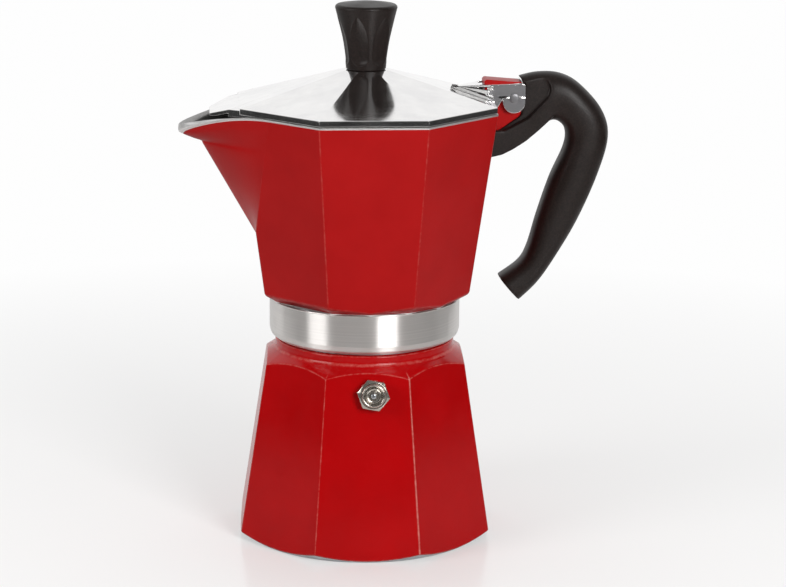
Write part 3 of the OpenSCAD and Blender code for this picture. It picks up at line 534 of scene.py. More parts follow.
# Sealing washer: a moulded rubber ring under the hexagon. The rubber is matt and milky, with
# a mottle of about a millimetre.
rubber, rubber_shader = finish_material(
    "silicone_rubber", Base_Color=linear("#DAD7CE"), Roughness=0.55, IOR=1.42
)
dust = node(
    rubber,
    "TexNoise",
    {"Vector": node(rubber, "TexCoord").outputs["Object"], "Scale": per_mm(0.8333), "Detail": 4},
)
uneven(
    rubber, rubber_shader, dust.outputs["Fac"], (0, 1), (linear("#C9C5BA"), linear("#E2DFD6")),
    depth=0.2, reach=0.05,
)
washer = wrap(
    "valve_sealing_ring",
    round_columns(64),
    lambda k: [
        ((4.1, 0), 0, 0), ((5.7, 0), 0.3, 0), ((5.7, 0.8), 0.3, 0), ((4.1, 0.8), 0, 0),
    ],
    [rubber],
    "boiler",
    steps=3,
    closed=True,
)
at_valve(washer)
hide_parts("valve_washer")


def dress(name, material):
    """Gives a node of the frame, whose shape is right as it is, its finish."""
    coat(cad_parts[name], material)


dress("valve_spring", steel)
dress("piston_seal", rubber)

# ---- Funnel ----
# Basket, stem and strainer are thin aluminium sheet and tube, left bare. The basket is spun,
# the stem is seamed to it, and the pressed strainer sits in its bottom.

spun_metal = turned_metal("spun_aluminium", "#CBCCCE", 0.3, 0.6667)
dress("funnel_basket", spun_metal)
dress("funnel_stem", cast_metal)
dress("funnel_strainer", spun_metal)

# ---- Gasket and filter plate ----
# A moulded white rubber gasket sits in the collector's underside and holds the filter plate,
# which is pressed and perforated aluminium sheet.

dress("gasket", rubber)
dress("filter_plate", spun_metal)

# ---- Collector ----
# The upper casting: a turned bare collar, a coned underside, eight red facets that lean
# outwards, and a spout drawn out of the left facet. A thin line along the rim, the lip of
# the spout and the whole inside are bare metal.

RIM_HALF = 51.05
RIM_Z = 175.2
CHAMBER_LEAN = math.tan(math.radians(7.75))
UNDER_SLOPE = math.tan(math.radians(30))
COLLAR_R = 38.6
COLLAR_LOW, COLLAR_TOP = 82.2, 98.4
CHAMBER_FLOOR = 102.0
CHAMBER_WALL = 2.83
SPOUT_REACH = 74.9
SPOUT_W = 65.0
SPOUT_FOOT = 123.6
SPOUT_CORNER = 128.0
SPOUT_BEND = 160.4
TIP_Z = 166.4
SPOUT_RAKE = math.tan(math.radians(29.7))
SPOUT_WALL = 2.4
NOSE_R = 3.0
LIP_RUN, LIP_RISE, LIP_THICK = 6.4, 2.3, 1.5
PAINT_END = 0.75
PLAIN_Z = 117.0


def facet_half(z):
    return RIM_HALF - (RIM_Z - z) * CHAMBER_LEAN


def ridge(z):
    return (-facet_half(SPOUT_FOOT) - (z - SPOUT_FOOT) * SPOUT_RAKE, z)


def spout_edge(share, t):
    """Point of the spout's edge, which climbs from the left facet's corner to the rim."""
    a = facet_half(SPOUT_CORNER) - t
    low = np.array([-a, a * math.tan(FACET_HALF), SPOUT_CORNER])
    y = (SPOUT_W - t * math.sqrt(2)) / 2
    high = np.array([-(2 * RIM_HALF - t * math.sqrt(2)) / math.sqrt(2) + SPOUT_W / 2, y, RIM_Z])
    return low + (high - low) * share


# Stations up the spout: share of the edge's height, the ridge's place, the direction in
# which the hollow lies from it, and how slowly the line across rises from the ridge
STATIONS = [(0.0, *ridge(SPOUT_FOOT), 8, 1)]
STATIONS += [
    (0.66 * t, *ridge(SPOUT_FOOT + (SPOUT_BEND - SPOUT_FOOT) * t), 8, 1)
    for t in (0.25, 0.5, 0.75, 1)
]
STATIONS += [
    (0.74, ridge(SPOUT_BEND + 1.2)[0] + 0.1, SPOUT_BEND + 1.2, 30, 1),
    (0.82, -SPOUT_REACH + LIP_RUN, TIP_Z - LIP_THICK - LIP_RISE, 65, 1),
    (0.90, -SPOUT_REACH + LIP_RUN / 2, TIP_Z - LIP_THICK - LIP_RISE * 0.45, 76, 0.95),
    (1 - PAINT_END / (RIM_Z - SPOUT_CORNER), -SPOUT_REACH + 2.0, TIP_Z - LIP_THICK - 0.45, 79, 0.88),
    (0.993, -SPOUT_REACH + 0.4, TIP_Z - LIP_THICK * 0.75, 83, 0.97),
    (1.0, -SPOUT_REACH, TIP_Z, 86, 1.05),
]


def curve_at(rows, i, t):
    """Smooth curve through rows of numbers: the place t between rows i and i + 1."""
    rows = np.array(rows, float)
    a, b = rows[max(i - 1, 0)], rows[i]
    c, d = rows[i + 1], rows[min(i + 2, len(rows) - 1)]
    return 0.5 * (
        2 * b + (c - a) * t + (2 * a - 5 * b + 4 * c - d) * t * t
        + (3 * b - a - 3 * c + d) * t ** 3
    )


def spout_nose(station, inside=False):
    """Where a station's line crosses the ridge, on the outside or within the wall."""
    share, x, z, tilt, _ = station
    if not inside:
        return x, z
    edge = spout_edge(share, 0)
    shift = SPOUT_WALL * math.hypot(edge[1], edge[0] - x) / edge[1]
    depth = shift + (LIP_THICK * 1.15 - shift) * tilt / 90
    a = math.radians(tilt)
    return x + depth * math.cos(a), z + depth * math.sin(a)


SPOUT_SHARES = [math.copysign(abs(v) ** 1.6, v) for v in np.linspace(1, -1, 41)]


def spout_line(edge, nose, power):
    """Line across the spout, from its edge at +Y round the nose to its edge at -Y."""
    run = edge[0] - nose[0]
    e = NOSE_R * max(run, 1) / edge[1] ** 2
    return [
        (
            nose[0] + run * (math.sqrt(u * u + e * e) - e) / (math.sqrt(1 + e * e) - e),
            edge[1] * u,
            nose[1] + (edge[2] - nose[1]) * math.sin(math.pi / 2 * abs(u)) ** power,
        )
        for u in SPOUT_SHARES
    ]


def facet_line(mid_z, z, t):
    """Line across the left facet, which sags from z at its edges to mid_z."""
    line = []
    for u in SPOUT_SHARES:
        h = mid_z + (z - mid_z) * math.sin(math.pi / 2 * abs(u))
        line.append((t - facet_half(h), (facet_half(z) - t) * math.tan(FACET_HALF) * u, h))
    return line


CORNER_R = 1.7
EDGE_R = 2.2


def chamber_ring(line, z, t):
    """Closes a line across the spout round the other six corners, and rounds them."""
    corners = [(line[0], EDGE_R if t == 0 else 1, 0)]
    corners += [(p, 0, 0) for p in line[1:-1]]
    corners += [(line[-1], EDGE_R if t == 0 else 1, 0)]
    for k in range(5, 11):
        a, r = FACET_HALF + math.pi / 4 * k, (facet_half(z) - t) / math.cos(FACET_HALF)
        before = FACET_HALF + math.pi / 4 * (k - 1)
        if k > 5:
            x, y = (f(a) + f(before) for f in (math.cos, math.sin))
            corners.append(((x / 2 * r, y / 2 * r, z), 0, 0))
        corners.append(((r * math.cos(a), r * math.sin(a), z), CORNER_R, 0))
    points, _, shares = rounded(corners)
    return points, shares


def column_rows(corners_at, template, t):
    """Rows below the plain level: each point of the template ring goes down along the facet
    it lies on, through the corners that the section has in its direction."""
    rows = None
    for p in template:
        angle = math.atan2(p[1], p[0])
        k = math.hypot(p[0], p[1]) / (facet_half(p[2]) - t)
        line, marks, shares = rounded(corners_at(k))
        if rows is None:
            rows = [[] for _ in line]
        for row, (r, z) in zip(rows, line):
            row.append((r * math.cos(angle), r * math.sin(angle), z))
    return rows, marks, shares


def crease(k, t, slope, foot_r, foot_z):
    """Where a cone that starts at foot_r and foot_z meets the facets, k times their shortest
    distance out."""
    s = slope * CHAMBER_LEAN
    base = facet_half(foot_z) - t
    r = k * (base - foot_r * s) / (1 - k * s)
    return r, foot_z + (r - foot_r) * slope


def under_section(k):
    r, z = crease(k, 0, UNDER_SLOPE, COLLAR_R, COLLAR_TOP)
    return [
        ((35.6, 94.0), 0, 1), ((35.6, COLLAR_LOW + 0.5), 0, 1), ((36.1, COLLAR_LOW), 0, 1),
        ((COLLAR_R - 1.8, COLLAR_LOW), 0.3, 1), ((COLLAR_R - 0.6, COLLAR_LOW + 1.2), 0.5, 1),
        ((COLLAR_R, COLLAR_LOW + 3.2), 1.5, 1),
        ((COLLAR_R, COLLAR_TOP - 0.9), 0.25, 1), ((COLLAR_R + 0.8, COLLAR_TOP - 0.25), 0.25, 1),
        ((COLLAR_R + 0.9, COLLAR_TOP + 0.5), 0.2, 0), ((r, z), 2.6, 0),
        ((k * facet_half(PLAIN_Z - 1.5), PLAIN_Z - 1.5), 0, 0),
    ]


def inner_section(k):
    t = CHAMBER_WALL
    r, z = crease(k, t, UNDER_SLOPE, COLLAR_R + 0.5, CHAMBER_FLOOR)
    return [
        ((k * (facet_half(PLAIN_Z) - t), PLAIN_Z), 0, 1), ((r, z), 3, 1),
        ((COLLAR_R + 0.5, CHAMBER_FLOOR), 4, 1), ((9.2, CHAMBER_FLOOR), 0, 1),
    ]


rings, ring_shares, ring_marks = [], [], []


def add_ring(points, shares, mark, row_share=0):
    rings.append(points)
    # Corners and rounds of the red take a share of paler colour: partly wear, partly painted highlight
    ring_shares.append([0.6 * max(s, row_share) for s in shares])
    ring_marks.append(mark)


template, template_shares = chamber_ring(facet_line(PLAIN_Z, PLAIN_Z, 0), PLAIN_Z, 0)
rows, marks, shares = column_rows(under_section, template, 0)
for row, mark, share in zip(rows, marks, shares):
    add_ring(row, template_shares if share == 0 and mark == 0 else [0] * len(row), mark, share)
for mid_z, corner_z in ((PLAIN_Z, PLAIN_Z), (120.4, 122.5)):
    add_ring(*chamber_ring(facet_line(mid_z, corner_z, 0), corner_z, 0), 0)
SPOUT_STEPS = 4
last_painted = len(STATIONS) - 3
for i in range(len(STATIONS) - 1):
    for s in range(SPOUT_STEPS):
        station = curve_at(STATIONS, i, s / SPOUT_STEPS)
        edge = spout_edge(station[0], 0)
        line = spout_line(edge, spout_nose(station), station[4])
        add_ring(*chamber_ring(line, edge[2], 0), 0 if i < last_painted else 1)
MOUTH = STATIONS[-1]
outer_top = chamber_ring(spout_line(spout_edge(1, 0), spout_nose(MOUTH), MOUTH[4]), RIM_Z, 0)
inner_line = spout_line(spout_edge(1, CHAMBER_WALL), spout_nose(MOUTH, True), MOUTH[4])
inner_top = chamber_ring(inner_line, RIM_Z, CHAMBER_WALL)
# The rim is rubbed flat, with both of its edges broken
for share, drop in ((0.0, 0.3), (0.04, 0.1), (0.12, 0.0), (0.88, 0.0), (0.96, 0.1), (1.0, 0.3)):
    add_ring(
        [
            np.array(a) * (1 - share) + np.array(b) * share - np.array((0, 0, drop))
            for a, b in zip(outer_top[0], inner_top[0])
        ],
        [0] * len(outer_top[0]),
        1,
    )
for i in range(len(STATIONS) - 2, -1, -1):
    for s in (0.5, 0.0):
        station = curve_at(STATIONS, i, s)
        # The rim's inner edge stands in for the highest lines inside
        if station[0] > 0.985:
            continue
        edge = spout_edge(station[0], CHAMBER_WALL)
        line = spout_line(edge, spout_nose(station, True), station[4])
        add_ring(*chamber_ring(line, edge[2], CHAMBER_WALL), 1)
inner_template, _ = chamber_ring(facet_line(PLAIN_Z, PLAIN_Z, CHAMBER_WALL), PLAIN_Z, CHAMBER_WALL)
for row in column_rows(inner_section, inner_template, CHAMBER_WALL)[0]:
    add_ring(row, [0] * len(row), 1)

collector_red = sprayed_red("red_enamel_collector", "#A50C0D", "#AE1011", 0.34, 0.12, 0.2, 0.4)
chamber_metal = bare_metal("rubbed_aluminium", "#DEDDDC", 0.42, 0.7692, 0.15)
collector = piece(
    "collector_casting",
    [p for ring in rings for p in ring],
    walls(len(rings), len(rings[0])),
    [collector_red, chamber_metal],
    "collector",
    [mark for mark in ring_marks[:-1] for _ in rings[0]],
    [s for shares in ring_shares for s in shares],
)
even_shading(collector)
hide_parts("collector")

# Underside of the chamber's floor, with the gasket's recess and the dish above the filter
recess = wrap(
    "gasket_seat",
    round_columns(128),
    lambda k: [
        ((3.4, 107), 0, 0), ((3.4, 100.5), 0, 0), ((25, 97.4), 0, 0), ((33.9, 97.4), 0.2, 0),
        ((33.9, 94.0), 0, 0), ((35.65, 94.0), 0, 0), ((36.4, 96), 0, 0), ((36.4, 100), 0, 0),
        ((9.0, 101.8), 0, 0), ((8.0, 104), 0, 0),
    ],
    [cast_metal],
    "collector",
    closed=True,
)
thread("collar_thread", 35.65, 34.7, math.pi, "collector")

# Turned collar: the lathe-cut skin of the casting's collar, left bare and bright
turned_band = turned_metal("turned_aluminium", "#DCD9D6", 0.31, 0.5882, 1.0)
band = wrap(
    "turned_collar",
    round_columns(192),
    lambda k: [
        ((COLLAR_R - 2.2, COLLAR_LOW - 0.02), 0, 0), ((COLLAR_R - 1.8, COLLAR_LOW - 0.04), 0.2, 0),
        ((COLLAR_R - 0.5, COLLAR_LOW + 1.1), 1.1, 0), ((COLLAR_R + 0.03, COLLAR_LOW + 3.2), 1.5, 0),
        ((COLLAR_R + 0.03, COLLAR_TOP - 0.6), 0.25, 0), ((COLLAR_R + 0.84, COLLAR_TOP - 0.2), 0.25, 0),
        ((COLLAR_R + 0.6, COLLAR_TOP + 0.2), 0, 0), ((COLLAR_R - 2.2, COLLAR_TOP - 1), 0, 0),
    ],
    [turned_band],
    "collector",
    steps=5,
    closed=True,
)
even_shading(band)


def settle(made):
    """Applies the modifiers of a piece to its mesh."""
    bpy.context.view_layer.update()
    made.data = bpy.data.meshes.new_from_object(
        made.evaluated_get(bpy.context.evaluated_depsgraph_get())
    )
    made.modifiers.clear()
    made.data.polygons.foreach_set("use_smooth", [True] * len(made.data.polygons))
    return made


def shape(made, tool, operation):
    """Cuts a tool out of a piece, or joins it on, and takes the tool away."""
    change = made.modifiers.new("change", "BOOLEAN")
    change.operation = operation
    change.object = tool
    change.solver = "EXACT"
    settle(made)
    bpy.data.objects.remove(tool)
    return made


def plate(outline, y, thickness):
    """A flat blank in X and Z, given a thickness in Y."""
    return tube([[(x, y + side * thickness / 2, z) for x, z in outline] for side in (-1, 1)])


def rod(centre, direction, r, length, sides=64):
    """A plain round tool around centre, along direction."""
    turn = Vector(direction).normalized().to_track_quat("Z", "Y").to_matrix()
    circle = [(r * math.cos(a), r * math.sin(a)) for a, *_ in round_columns(sides)]
    return tube(
        [
            [tuple(turn @ Vector((x, y, end * length / 2)) + Vector(centre)) for x, y in circle]
            for end in (-1, 1)
        ]
    )


# Column that the coffee rises through, with an outlet on each side below its closed top
column = wrap(
    "coffee_column",
    round_columns(128),
    lambda k: [
        ((3.4, 100), 0, 0), ((9.5, 100), 0, 0), ((9.4, 102.6), 2.5, 0), ((5, 159), 1.2, 0),
        ((3, 161.2), 1, 0), ((0.4, 162), 0, 0),
    ],
    [chamber_metal],
    "collector",
)
shape(column, rod((0, 0, 128), (0, 0, 1), 3.4, 60), "DIFFERENCE")
shape(column, rod((0, 0, 154), (0, 1, 0), 2.2, 19, 48), "DIFFERENCE")
coat(column, chamber_metal)
column.data.set_sharp_from_angle(angle=math.radians(35))

# ---- Hinge lug ----
# A block cast on the collector's wall, painted with it. It stands between the lid's ears
# and has a slot for the handle's tongue, open towards the handle.

PIN_X, PIN_Z = 58.8, 179.3
PIN_BORE = 1.55
LUG_W, SLOT_W = 10, 3.4


def from_pin(dx, dz):
    return (PIN_X + dx, PIN_Z + dz)


def soften(made, width, segments=3, angle=32):
    """Breaks the sharp edges of a piece, once its tiniest edges are merged away."""
    cleaned = bmesh.new()
    cleaned.from_mesh(made.data)
    bmesh.ops.remove_doubles(cleaned, verts=cleaned.verts, dist=8e-5)
    bmesh.ops.dissolve_degenerate(cleaned, edges=cleaned.edges, dist=4e-5)
    cleaned.to_mesh(made.data)
    cleaned.free()
    bevel = made.modifiers.new("soften", "BEVEL")
    bevel.width = width / 1000
    bevel.use_clamp_overlap = False
    bevel.segments = segments
    bevel.limit_method = "ANGLE"
    bevel.angle_limit = math.radians(angle)
    return even_shading(made)


LUG_LOW = PIN_Z - 13.4
lug = plate(
    [
        (facet_half(LUG_LOW) - 1.4, LUG_LOW), from_pin(-5.8, -13.4), from_pin(2.2, -7.9),
        from_pin(3, -6.9), from_pin(4.4, 4.5), from_pin(3.2, 6), from_pin(-11, 7.2),
        from_pin(-11.8, 6.4), from_pin(-11.4, 2), (facet_half(RIM_Z) - 1.4, RIM_Z - 0.5),
    ],
    0,
    LUG_W,
)
slot_tool = plate(
    [from_pin(-4.2, -6.2), from_pin(-4.2, 4.3), from_pin(12, 4.3), from_pin(12, -6.2)], 0, SLOT_W
)
shape(lug, slot_tool, "DIFFERENCE")
shape(lug, rod((PIN_X, 0, PIN_Z), (0, 1, 0), PIN_BORE, 20, 48), "DIFFERENCE")
lug.name = "hinge_lug"
coat(lug, collector_red)
soften(lug, 0.45)

# ---- Lid ----
# Pressed and polished aluminium: a shallow eight-sided roof with a plain upright edge, a
# tab over the spout, and a wedge that rises to two ears on the hinge pin.

lid_metal, lid_shader = finish_material("polished_aluminium", Metallic=1.0, Roughness=0.1)
place = node(lid_metal, "TexCoord").outputs["Object"]
# Polishing marks: streaks up to 17 mm long that run across the pot, about a millimetre apart
streak_place = node(
    lid_metal,
    "Mapping",
    {"Vector": place, "Scale": (per_mm(16.667), per_mm(0.6667), per_mm(1.111))},
)
streaks = node(lid_metal, "TexNoise", {"Vector": streak_place.outputs[0], "Scale": 1, "Detail": 5})
# Faint clouds from wiping, more than a centimetre wide
wiped = node(
    lid_metal, "TexNoise", {"Vector": place, "Scale": per_mm(14.286), "Detail": 4, "Roughness": 0.6}
)
lid_mix = node(
    lid_metal, "Math", {0: streaks.outputs["Fac"], 1: wiped.outputs["Fac"]}, operation="ADD"
)
uneven(
    lid_metal, lid_shader, wiped.outputs["Fac"], (0.35, 0.65), (linear("#E6E5E5"), linear("#F1F0EF"))
)
uneven(lid_metal, lid_shader, lid_mix.outputs[0], (0.75, 1.25), gloss=(0.07, 0.13))
uneven(lid_metal, lid_shader, streaks.outputs["Fac"], depth=0.05, reach=0.02)


def planar_copy(name, label, material, body):
    """A copy of a flat-sided node as clean flat faces, ready to have its edges broken."""
    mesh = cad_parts[name].data.copy()
    mesh.name = label
    shape_of = bmesh.new()
    shape_of.from_mesh(mesh)
    bmesh.ops.remove_doubles(shape_of, verts=shape_of.verts, dist=1e-6)
    bmesh.ops.dissolve_limit(
        shape_of, angle_limit=math.radians(0.8), verts=shape_of.verts, edges=shape_of.edges
    )
    shape_of.to_mesh(mesh)
    shape_of.free()
    mesh.polygons.foreach_set("use_smooth", [True] * len(mesh.polygons))
    made = bpy.data.objects.new(label, mesh)
    coat(made, material)
    scene.collection.objects.link(made)
    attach(made, body)
    return made


EAR_Y = 7.7
WEDGE_FROM, WEDGE_TO = 34.2, 49.5


def on_wedge(share, z, side, out):
    """A point a share of the way along the wedge's side, or out from it."""
    run = Vector((WEDGE_TO - WEDGE_FROM, -EAR_Y, 0)).normalized()
    x = WEDGE_FROM + (WEDGE_TO - WEDGE_FROM) * share + run[1] * out
    return (x, side * (0.2 + (EAR_Y - 0.2) * share + run[0] * out), z)


def sliver(start, end_high, end_low, side, depth):
    """A tool that tapers from a point to an edge, sunk into the wedge's side. Each of its
    three corners is a share along the wedge and a height."""
    corners = (start, end_high, end_low)
    rows = [[on_wedge(share, z, side, out) for share, z in corners] for out in (0.8, -depth)]
    return tube(rows, body="lid")


lid = planar_copy("lid", "lid_pressing", lid_metal, "lid")
for side in (-1, 1):
    # Two folds open into narrow gaps beside each ear
    shape(lid, sliver((0.4, 183.2), (1.04, 183.9), (1.04, 182.4), side, 1.6), "DIFFERENCE")
    shape(lid, sliver((0.4, 182.4), (1.04, 180.1), (1.04, 179.3), side, 1.2), "DIFFERENCE")
    # A line scored across the ear
    groove = [
        [
            (x, side * (EAR_Y + out), PIN_Z + 0.5 + dz)
            for out, dz in ((0.1, -0.3), (0.1, 0.3), (-0.12, 0))
        ]
        for x in (PIN_X - 6, PIN_X + 5.4)
    ]
    shape(lid, tube(groove, body="lid"), "DIFFERENCE")
# The ears are left as they were stamped and rougher. Their darker grey is partly that stamped finish
# and partly a painted dark reflection; their broken edges keep the polished finish and stay bright.
stamped_metal_dark_reflection = bare_metal("stamped_aluminium_dark_reflection", "#7F7E80", 0.34, 0.4545, 0.5)
folded_metal = bare_metal("folded_aluminium", "#F0EFEE", 0.5, 0.4545, 0.2)
coat(lid, lid_metal, stamped_metal_dark_reflection, folded_metal)
for face in lid.data.polygons:
    x, y, _ = face.center * 1000
    on_ear = x > PIN_X - 9 and abs(face.normal[1]) > 0.9
    upright = abs(face.normal[2]) < 0.5 and abs(y) < EAR_Y + 0.5
    on_fold = upright and WEDGE_FROM - 0.2 < x < WEDGE_TO + 1
    face.material_index = 1 if on_ear else 2 if on_fold else 0
soften(lid, 0.22, 3, 8)
lid.modifiers["soften"].material = 0
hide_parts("lid")

# ---- Hinge pin ----
# A steel rivet with a domed head on each side of the ears. It is pushed through ears, lug and
# the handle's tongue, and its heads are set by hammering.

# The rivet is shown in the ears' grey, whose darkness is partly a painted dark reflection
rivet = wrap(
    "hinge_rivet",
    round_columns(48),
    lambda k: [
        ((0.9, -8.15), 0, 0), ((1.9, -8.05), 0.4, 0), ((2.0, -7.75), 0.1, 0), ((1.5, -7.72), 0, 0),
        ((1.5, 7.72), 0, 0), ((2.0, 7.75), 0.1, 0), ((1.9, 8.05), 0.4, 0), ((0.9, 8.15), 0, 0),
    ],
    [stamped_metal_dark_reflection],
    "collector",
    steps=3,
)
rivet.data.transform(
    Matrix.Translation((PIN_X / 1000, 0, PIN_Z / 1000)) @ Matrix.Rotation(math.pi / 2, 4, "X")
)
even_shading(rivet)
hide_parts("hinge_pin")

# ---- Handle ----
# Phenolic moulding, black with a brown cast and a fine speckle. The arm straddles the lug,
# its tongue stands in the lug's slot, and the lower end is a flared, hollow lip.

phenolic, phenolic_shader = finish_material(
    "black_phenolic", Roughness=0.4, IOR=1.5, Specular_IOR_Level=0.24
)
place = node(phenolic, "TexCoord").outputs["Object"]
speckle = node(
    phenolic, "TexNoise", {"Vector": place, "Scale": per_mm(0.6667), "Detail": 4, "Roughness": 0.7}
)
uneven(
    phenolic, phenolic_shader, speckle.outputs["Fac"], (0.4, 0.75),
    (linear("#181210"), linear("#2B211E")), depth=0.22, reach=0.06,
)
handled = node(phenolic, "TexNoise", {"Vector": place, "Scale": per_mm(11.11), "Detail": 3})
uneven(phenolic, phenolic_shader, handled.outputs["Fac"], gloss=(0.34, 0.5))

ARM_W = 15.0
TONGUE_W = 3.2
# Inner point, outer point and half the width of each section, from the hinge pin
HANDLE_SECTIONS = [
    (-0.8, -21.2, 2.1, 8.0, 7.5),
    (7.2, -15.9, 10.2, 9.7, 7.8),
    (15.4, -9.9, 19.2, 9.1, 8.3),
    (20, -11.2, 27.2, 4.8, 8.8),
    (21.9, -15.2, 36.2, -5.4, 9),
    (20.9, -21.5, 39.1, -16.4, 9),
    (15.7, -33.3, 35.2, -31.8, 9),
    (10.8, -48.3, 27.4, -50.3, 9),
    (7.2, -61.3, 18.9, -65.3, 8.6),
    (3.6, -67.9, 11.6, -76.1, 8.6),
    (-4.5, -73.9, 4, -83.6, 9),
]


def handle_ring(section, size, count=40):
    inner = np.array(from_pin(section[0], section[1]))
    outer = np.array(from_pin(section[2], section[3]))
    middle, reach = (inner + outer) / 2, (outer - inner) / 2 * size
    ring = []
    for j in range(count):
        a = 2 * math.pi * j / count
        c = math.copysign(abs(math.cos(a)) ** 0.8, math.cos(a))
        w = math.copysign(abs(math.sin(a)) ** 0.8, math.sin(a))
        ring.append((middle[0] + reach[0] * c, -section[4] * size * w, middle[1] + reach[1] * c))
    return ring


grip_rows = [
    handle_ring(curve_at(HANDLE_SECTIONS, i, s / 6), 1)
    for i in range(len(HANDLE_SECTIONS) - 1)
    for s in range(6)
]
grip_rows.append(handle_ring(HANDLE_SECTIONS[-1], 1))
handle = tube(grip_rows, "handle_moulding")
ARM_LOW, ARM_HIGH = PIN_Z - 24.3, PIN_Z - 13.2
arm = plate(
    [
        (facet_half(ARM_LOW) + 0.1, ARM_LOW), from_pin(-4.5, -23), from_pin(0.3, -20.6),
        from_pin(5.2, -17.4), from_pin(10.4, -13), from_pin(14.4, -9.2), from_pin(16.5, -6.5),
        from_pin(7.2, -4.3), from_pin(2.2, -7), from_pin(-5.8, -13.2),
        (facet_half(ARM_HIGH) + 0.1, ARM_HIGH),
    ],
    0,
    ARM_W,
)
shape(handle, arm, "UNION")
# The arm stops short of the lug and of the way that the lid's wedge takes
POCKET_LOW = PIN_Z - 13.5
pocket = plate(
    [
        (facet_half(POCKET_LOW) - 5, POCKET_LOW + 0.2), from_pin(-5.8, -13.2),
        from_pin(2.4, -7.9), from_pin(3.3, -7), from_pin(4.7, 4.6), from_pin(3.8, 6.6),
        from_pin(2.1, 8.3), from_pin(2.1, 20), from_pin(-30, 20),
    ],
    0,
    72,
)
shape(handle, pocket, "DIFFERENCE")


def hull_of(circles):
    """Outline around circles, each (x, z, radius)."""
    cloud = [
        (x + r * math.cos(2 * math.pi * i / 48), z + r * math.sin(2 * math.pi * i / 48))
        for x, z, r in circles
        for i in range(48)
    ]
    return [cloud[i] for i in geometry.convex_hull_2d(cloud)]


# Flat scoops on both sides leave room for the lid's ears
SCOOP = hull_of([(*from_pin(9.6, 3.4), 5.2), (*from_pin(0, 0), 9.9), (*from_pin(-4, -10.4), 2.6)])
for side in (-1, 1):
    shape(handle, plate(SCOOP, side * (5.1 + 9), 18), "DIFFERENCE")
# The hollow in the lower end follows the grip and runs out through its mouth
LAST = len(HANDLE_SECTIONS) - 2
end_rows = [
    handle_ring(curve_at(HANDLE_SECTIONS, LAST, s), size)
    for s, size in ((1 - 12 / 14, 0.62), (0.57, 0.72), (1.0, 0.74))
]
low = np.array(HANDLE_SECTIONS[-1])
end_rows.append(handle_ring(low + (low - curve_at(HANDLE_SECTIONS, LAST, 0.67)) * 0.5, 0.78))
shape(handle, tube(end_rows), "DIFFERENCE")
tongue = plate(
    [from_pin(-3.6, -5.6), from_pin(-3.6, 4.1), from_pin(6, 4.1), from_pin(6, -5.6)], 0, TONGUE_W
)
shape(handle, tongue, "UNION")
shape(handle, rod((PIN_X, 0, PIN_Z), (0, 1, 0), PIN_BORE, 40, 48), "DIFFERENCE")
# A moulding has no sharp edge: the whole form is rounded by half a millimetre
even = handle.modifiers.new("even", "REMESH")
even.mode = "VOXEL"
even.voxel_size = 0.00042
smooth = handle.modifiers.new("smooth", "SMOOTH")
smooth.iterations = 9
settle(handle)
coat(handle, phenolic)
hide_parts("handle")

# ---- Knob ----
# Phenolic moulding with six flutes below a low crown. A screw and its washer hold it from
# inside the lid, in a turned brass insert.

knob_low, knob_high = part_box("knob")
BOSS_Z = 1000 * knob_low[2]
KNOB_H = 1000 * (knob_high[2] - knob_low[2])
KNOB_R, KNOB_FOOT = 12.4, 7.7
KNOB_EDGE = KNOB_H - 2.4
EDGE_ROUND = 1.3
FLUTES, FLUTE_DEPTH = 6, 1.2
FLUTE_TURN = math.radians(8.2)
FLUTE_LOW, FLUTE_FULL, FLUTE_ARCH, FLUTE_HIGH = 2.2, 5.0, 10.0, KNOB_EDGE - 2.8


def knob_side(z):
    """Radius of the knob without its flutes, which widens faster towards the top."""
    t = z / KNOB_EDGE
    return KNOB_FOOT + 0.2 + (KNOB_R - KNOB_FOOT - 0.2) * (0.52 * t + 0.48 * t * t)


def flute(off, z):
    """Depth of a flute at an angle from its middle. It has a round lower end, an even middle
    and a long arch above, with a crisp edge all round."""
    if z <= FLUTE_LOW or z >= FLUTE_HIGH:
        return 0
    below = max(0, (FLUTE_FULL - z) / (FLUTE_FULL - FLUTE_LOW))
    above = max(0, (z - FLUTE_ARCH) / (FLUTE_HIGH - FLUTE_ARCH))
    width = math.sqrt(1 - below ** 2) * (1 - above ** 1.8) ** 0.8
    share = off / (0.82 * math.pi / FLUTES * max(width, 0.01))
    return FLUTE_DEPTH * width * max(0, 1 - share * share)


outline = [(0.05, 0), (KNOB_FOOT - 0.3, 0)]
outline += [(knob_side(z), z) for z in np.linspace(0.5, KNOB_EDGE, 80)]
outline += [
    (knob_side(KNOB_EDGE) - EDGE_ROUND * (1 - math.cos(a)), KNOB_EDGE + EDGE_ROUND * math.sin(a))
    for a in np.radians([15, 30, 45, 60, 75])
]
crown_r = knob_side(KNOB_EDGE) - EDGE_ROUND
crown_rise = KNOB_H - KNOB_EDGE - EDGE_ROUND
outline += [
    (crown_r * (1 - t) + 0.02, KNOB_EDGE + EDGE_ROUND + crown_rise * math.sin(math.pi / 2 * t))
    for t in np.linspace(0, 0.99, 10)
]


def knob_ring(r, z):
    ring = []
    for a, *_ in round_columns(320):
        off = (a - FLUTE_TURN + math.pi / FLUTES) % (2 * math.pi / FLUTES) - math.pi / FLUTES
        inside = r - flute(off, z)
        ring.append((inside * math.cos(a), inside * math.sin(a), BOSS_Z + z))
    return ring


knob = tube([knob_ring(r, z) for r, z in outline], "knob_moulding", "lid")
coat(knob, phenolic)
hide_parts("knob")

insert_metal = turned_metal("turned_brass", "#B9A66A", 0.25, 0.5)
dress("knob_insert", insert_metal)
dress("knob_washer", steel)
dress("knob_screw", steel)

# ---- Floor and light ----
# A pale, slightly glossy floor in a white room that is darker in front of the pot. Two long
# softboxes stand left and right of the camera, and a curved black flag lies on the floor round
# the front, where only mirrors see it.

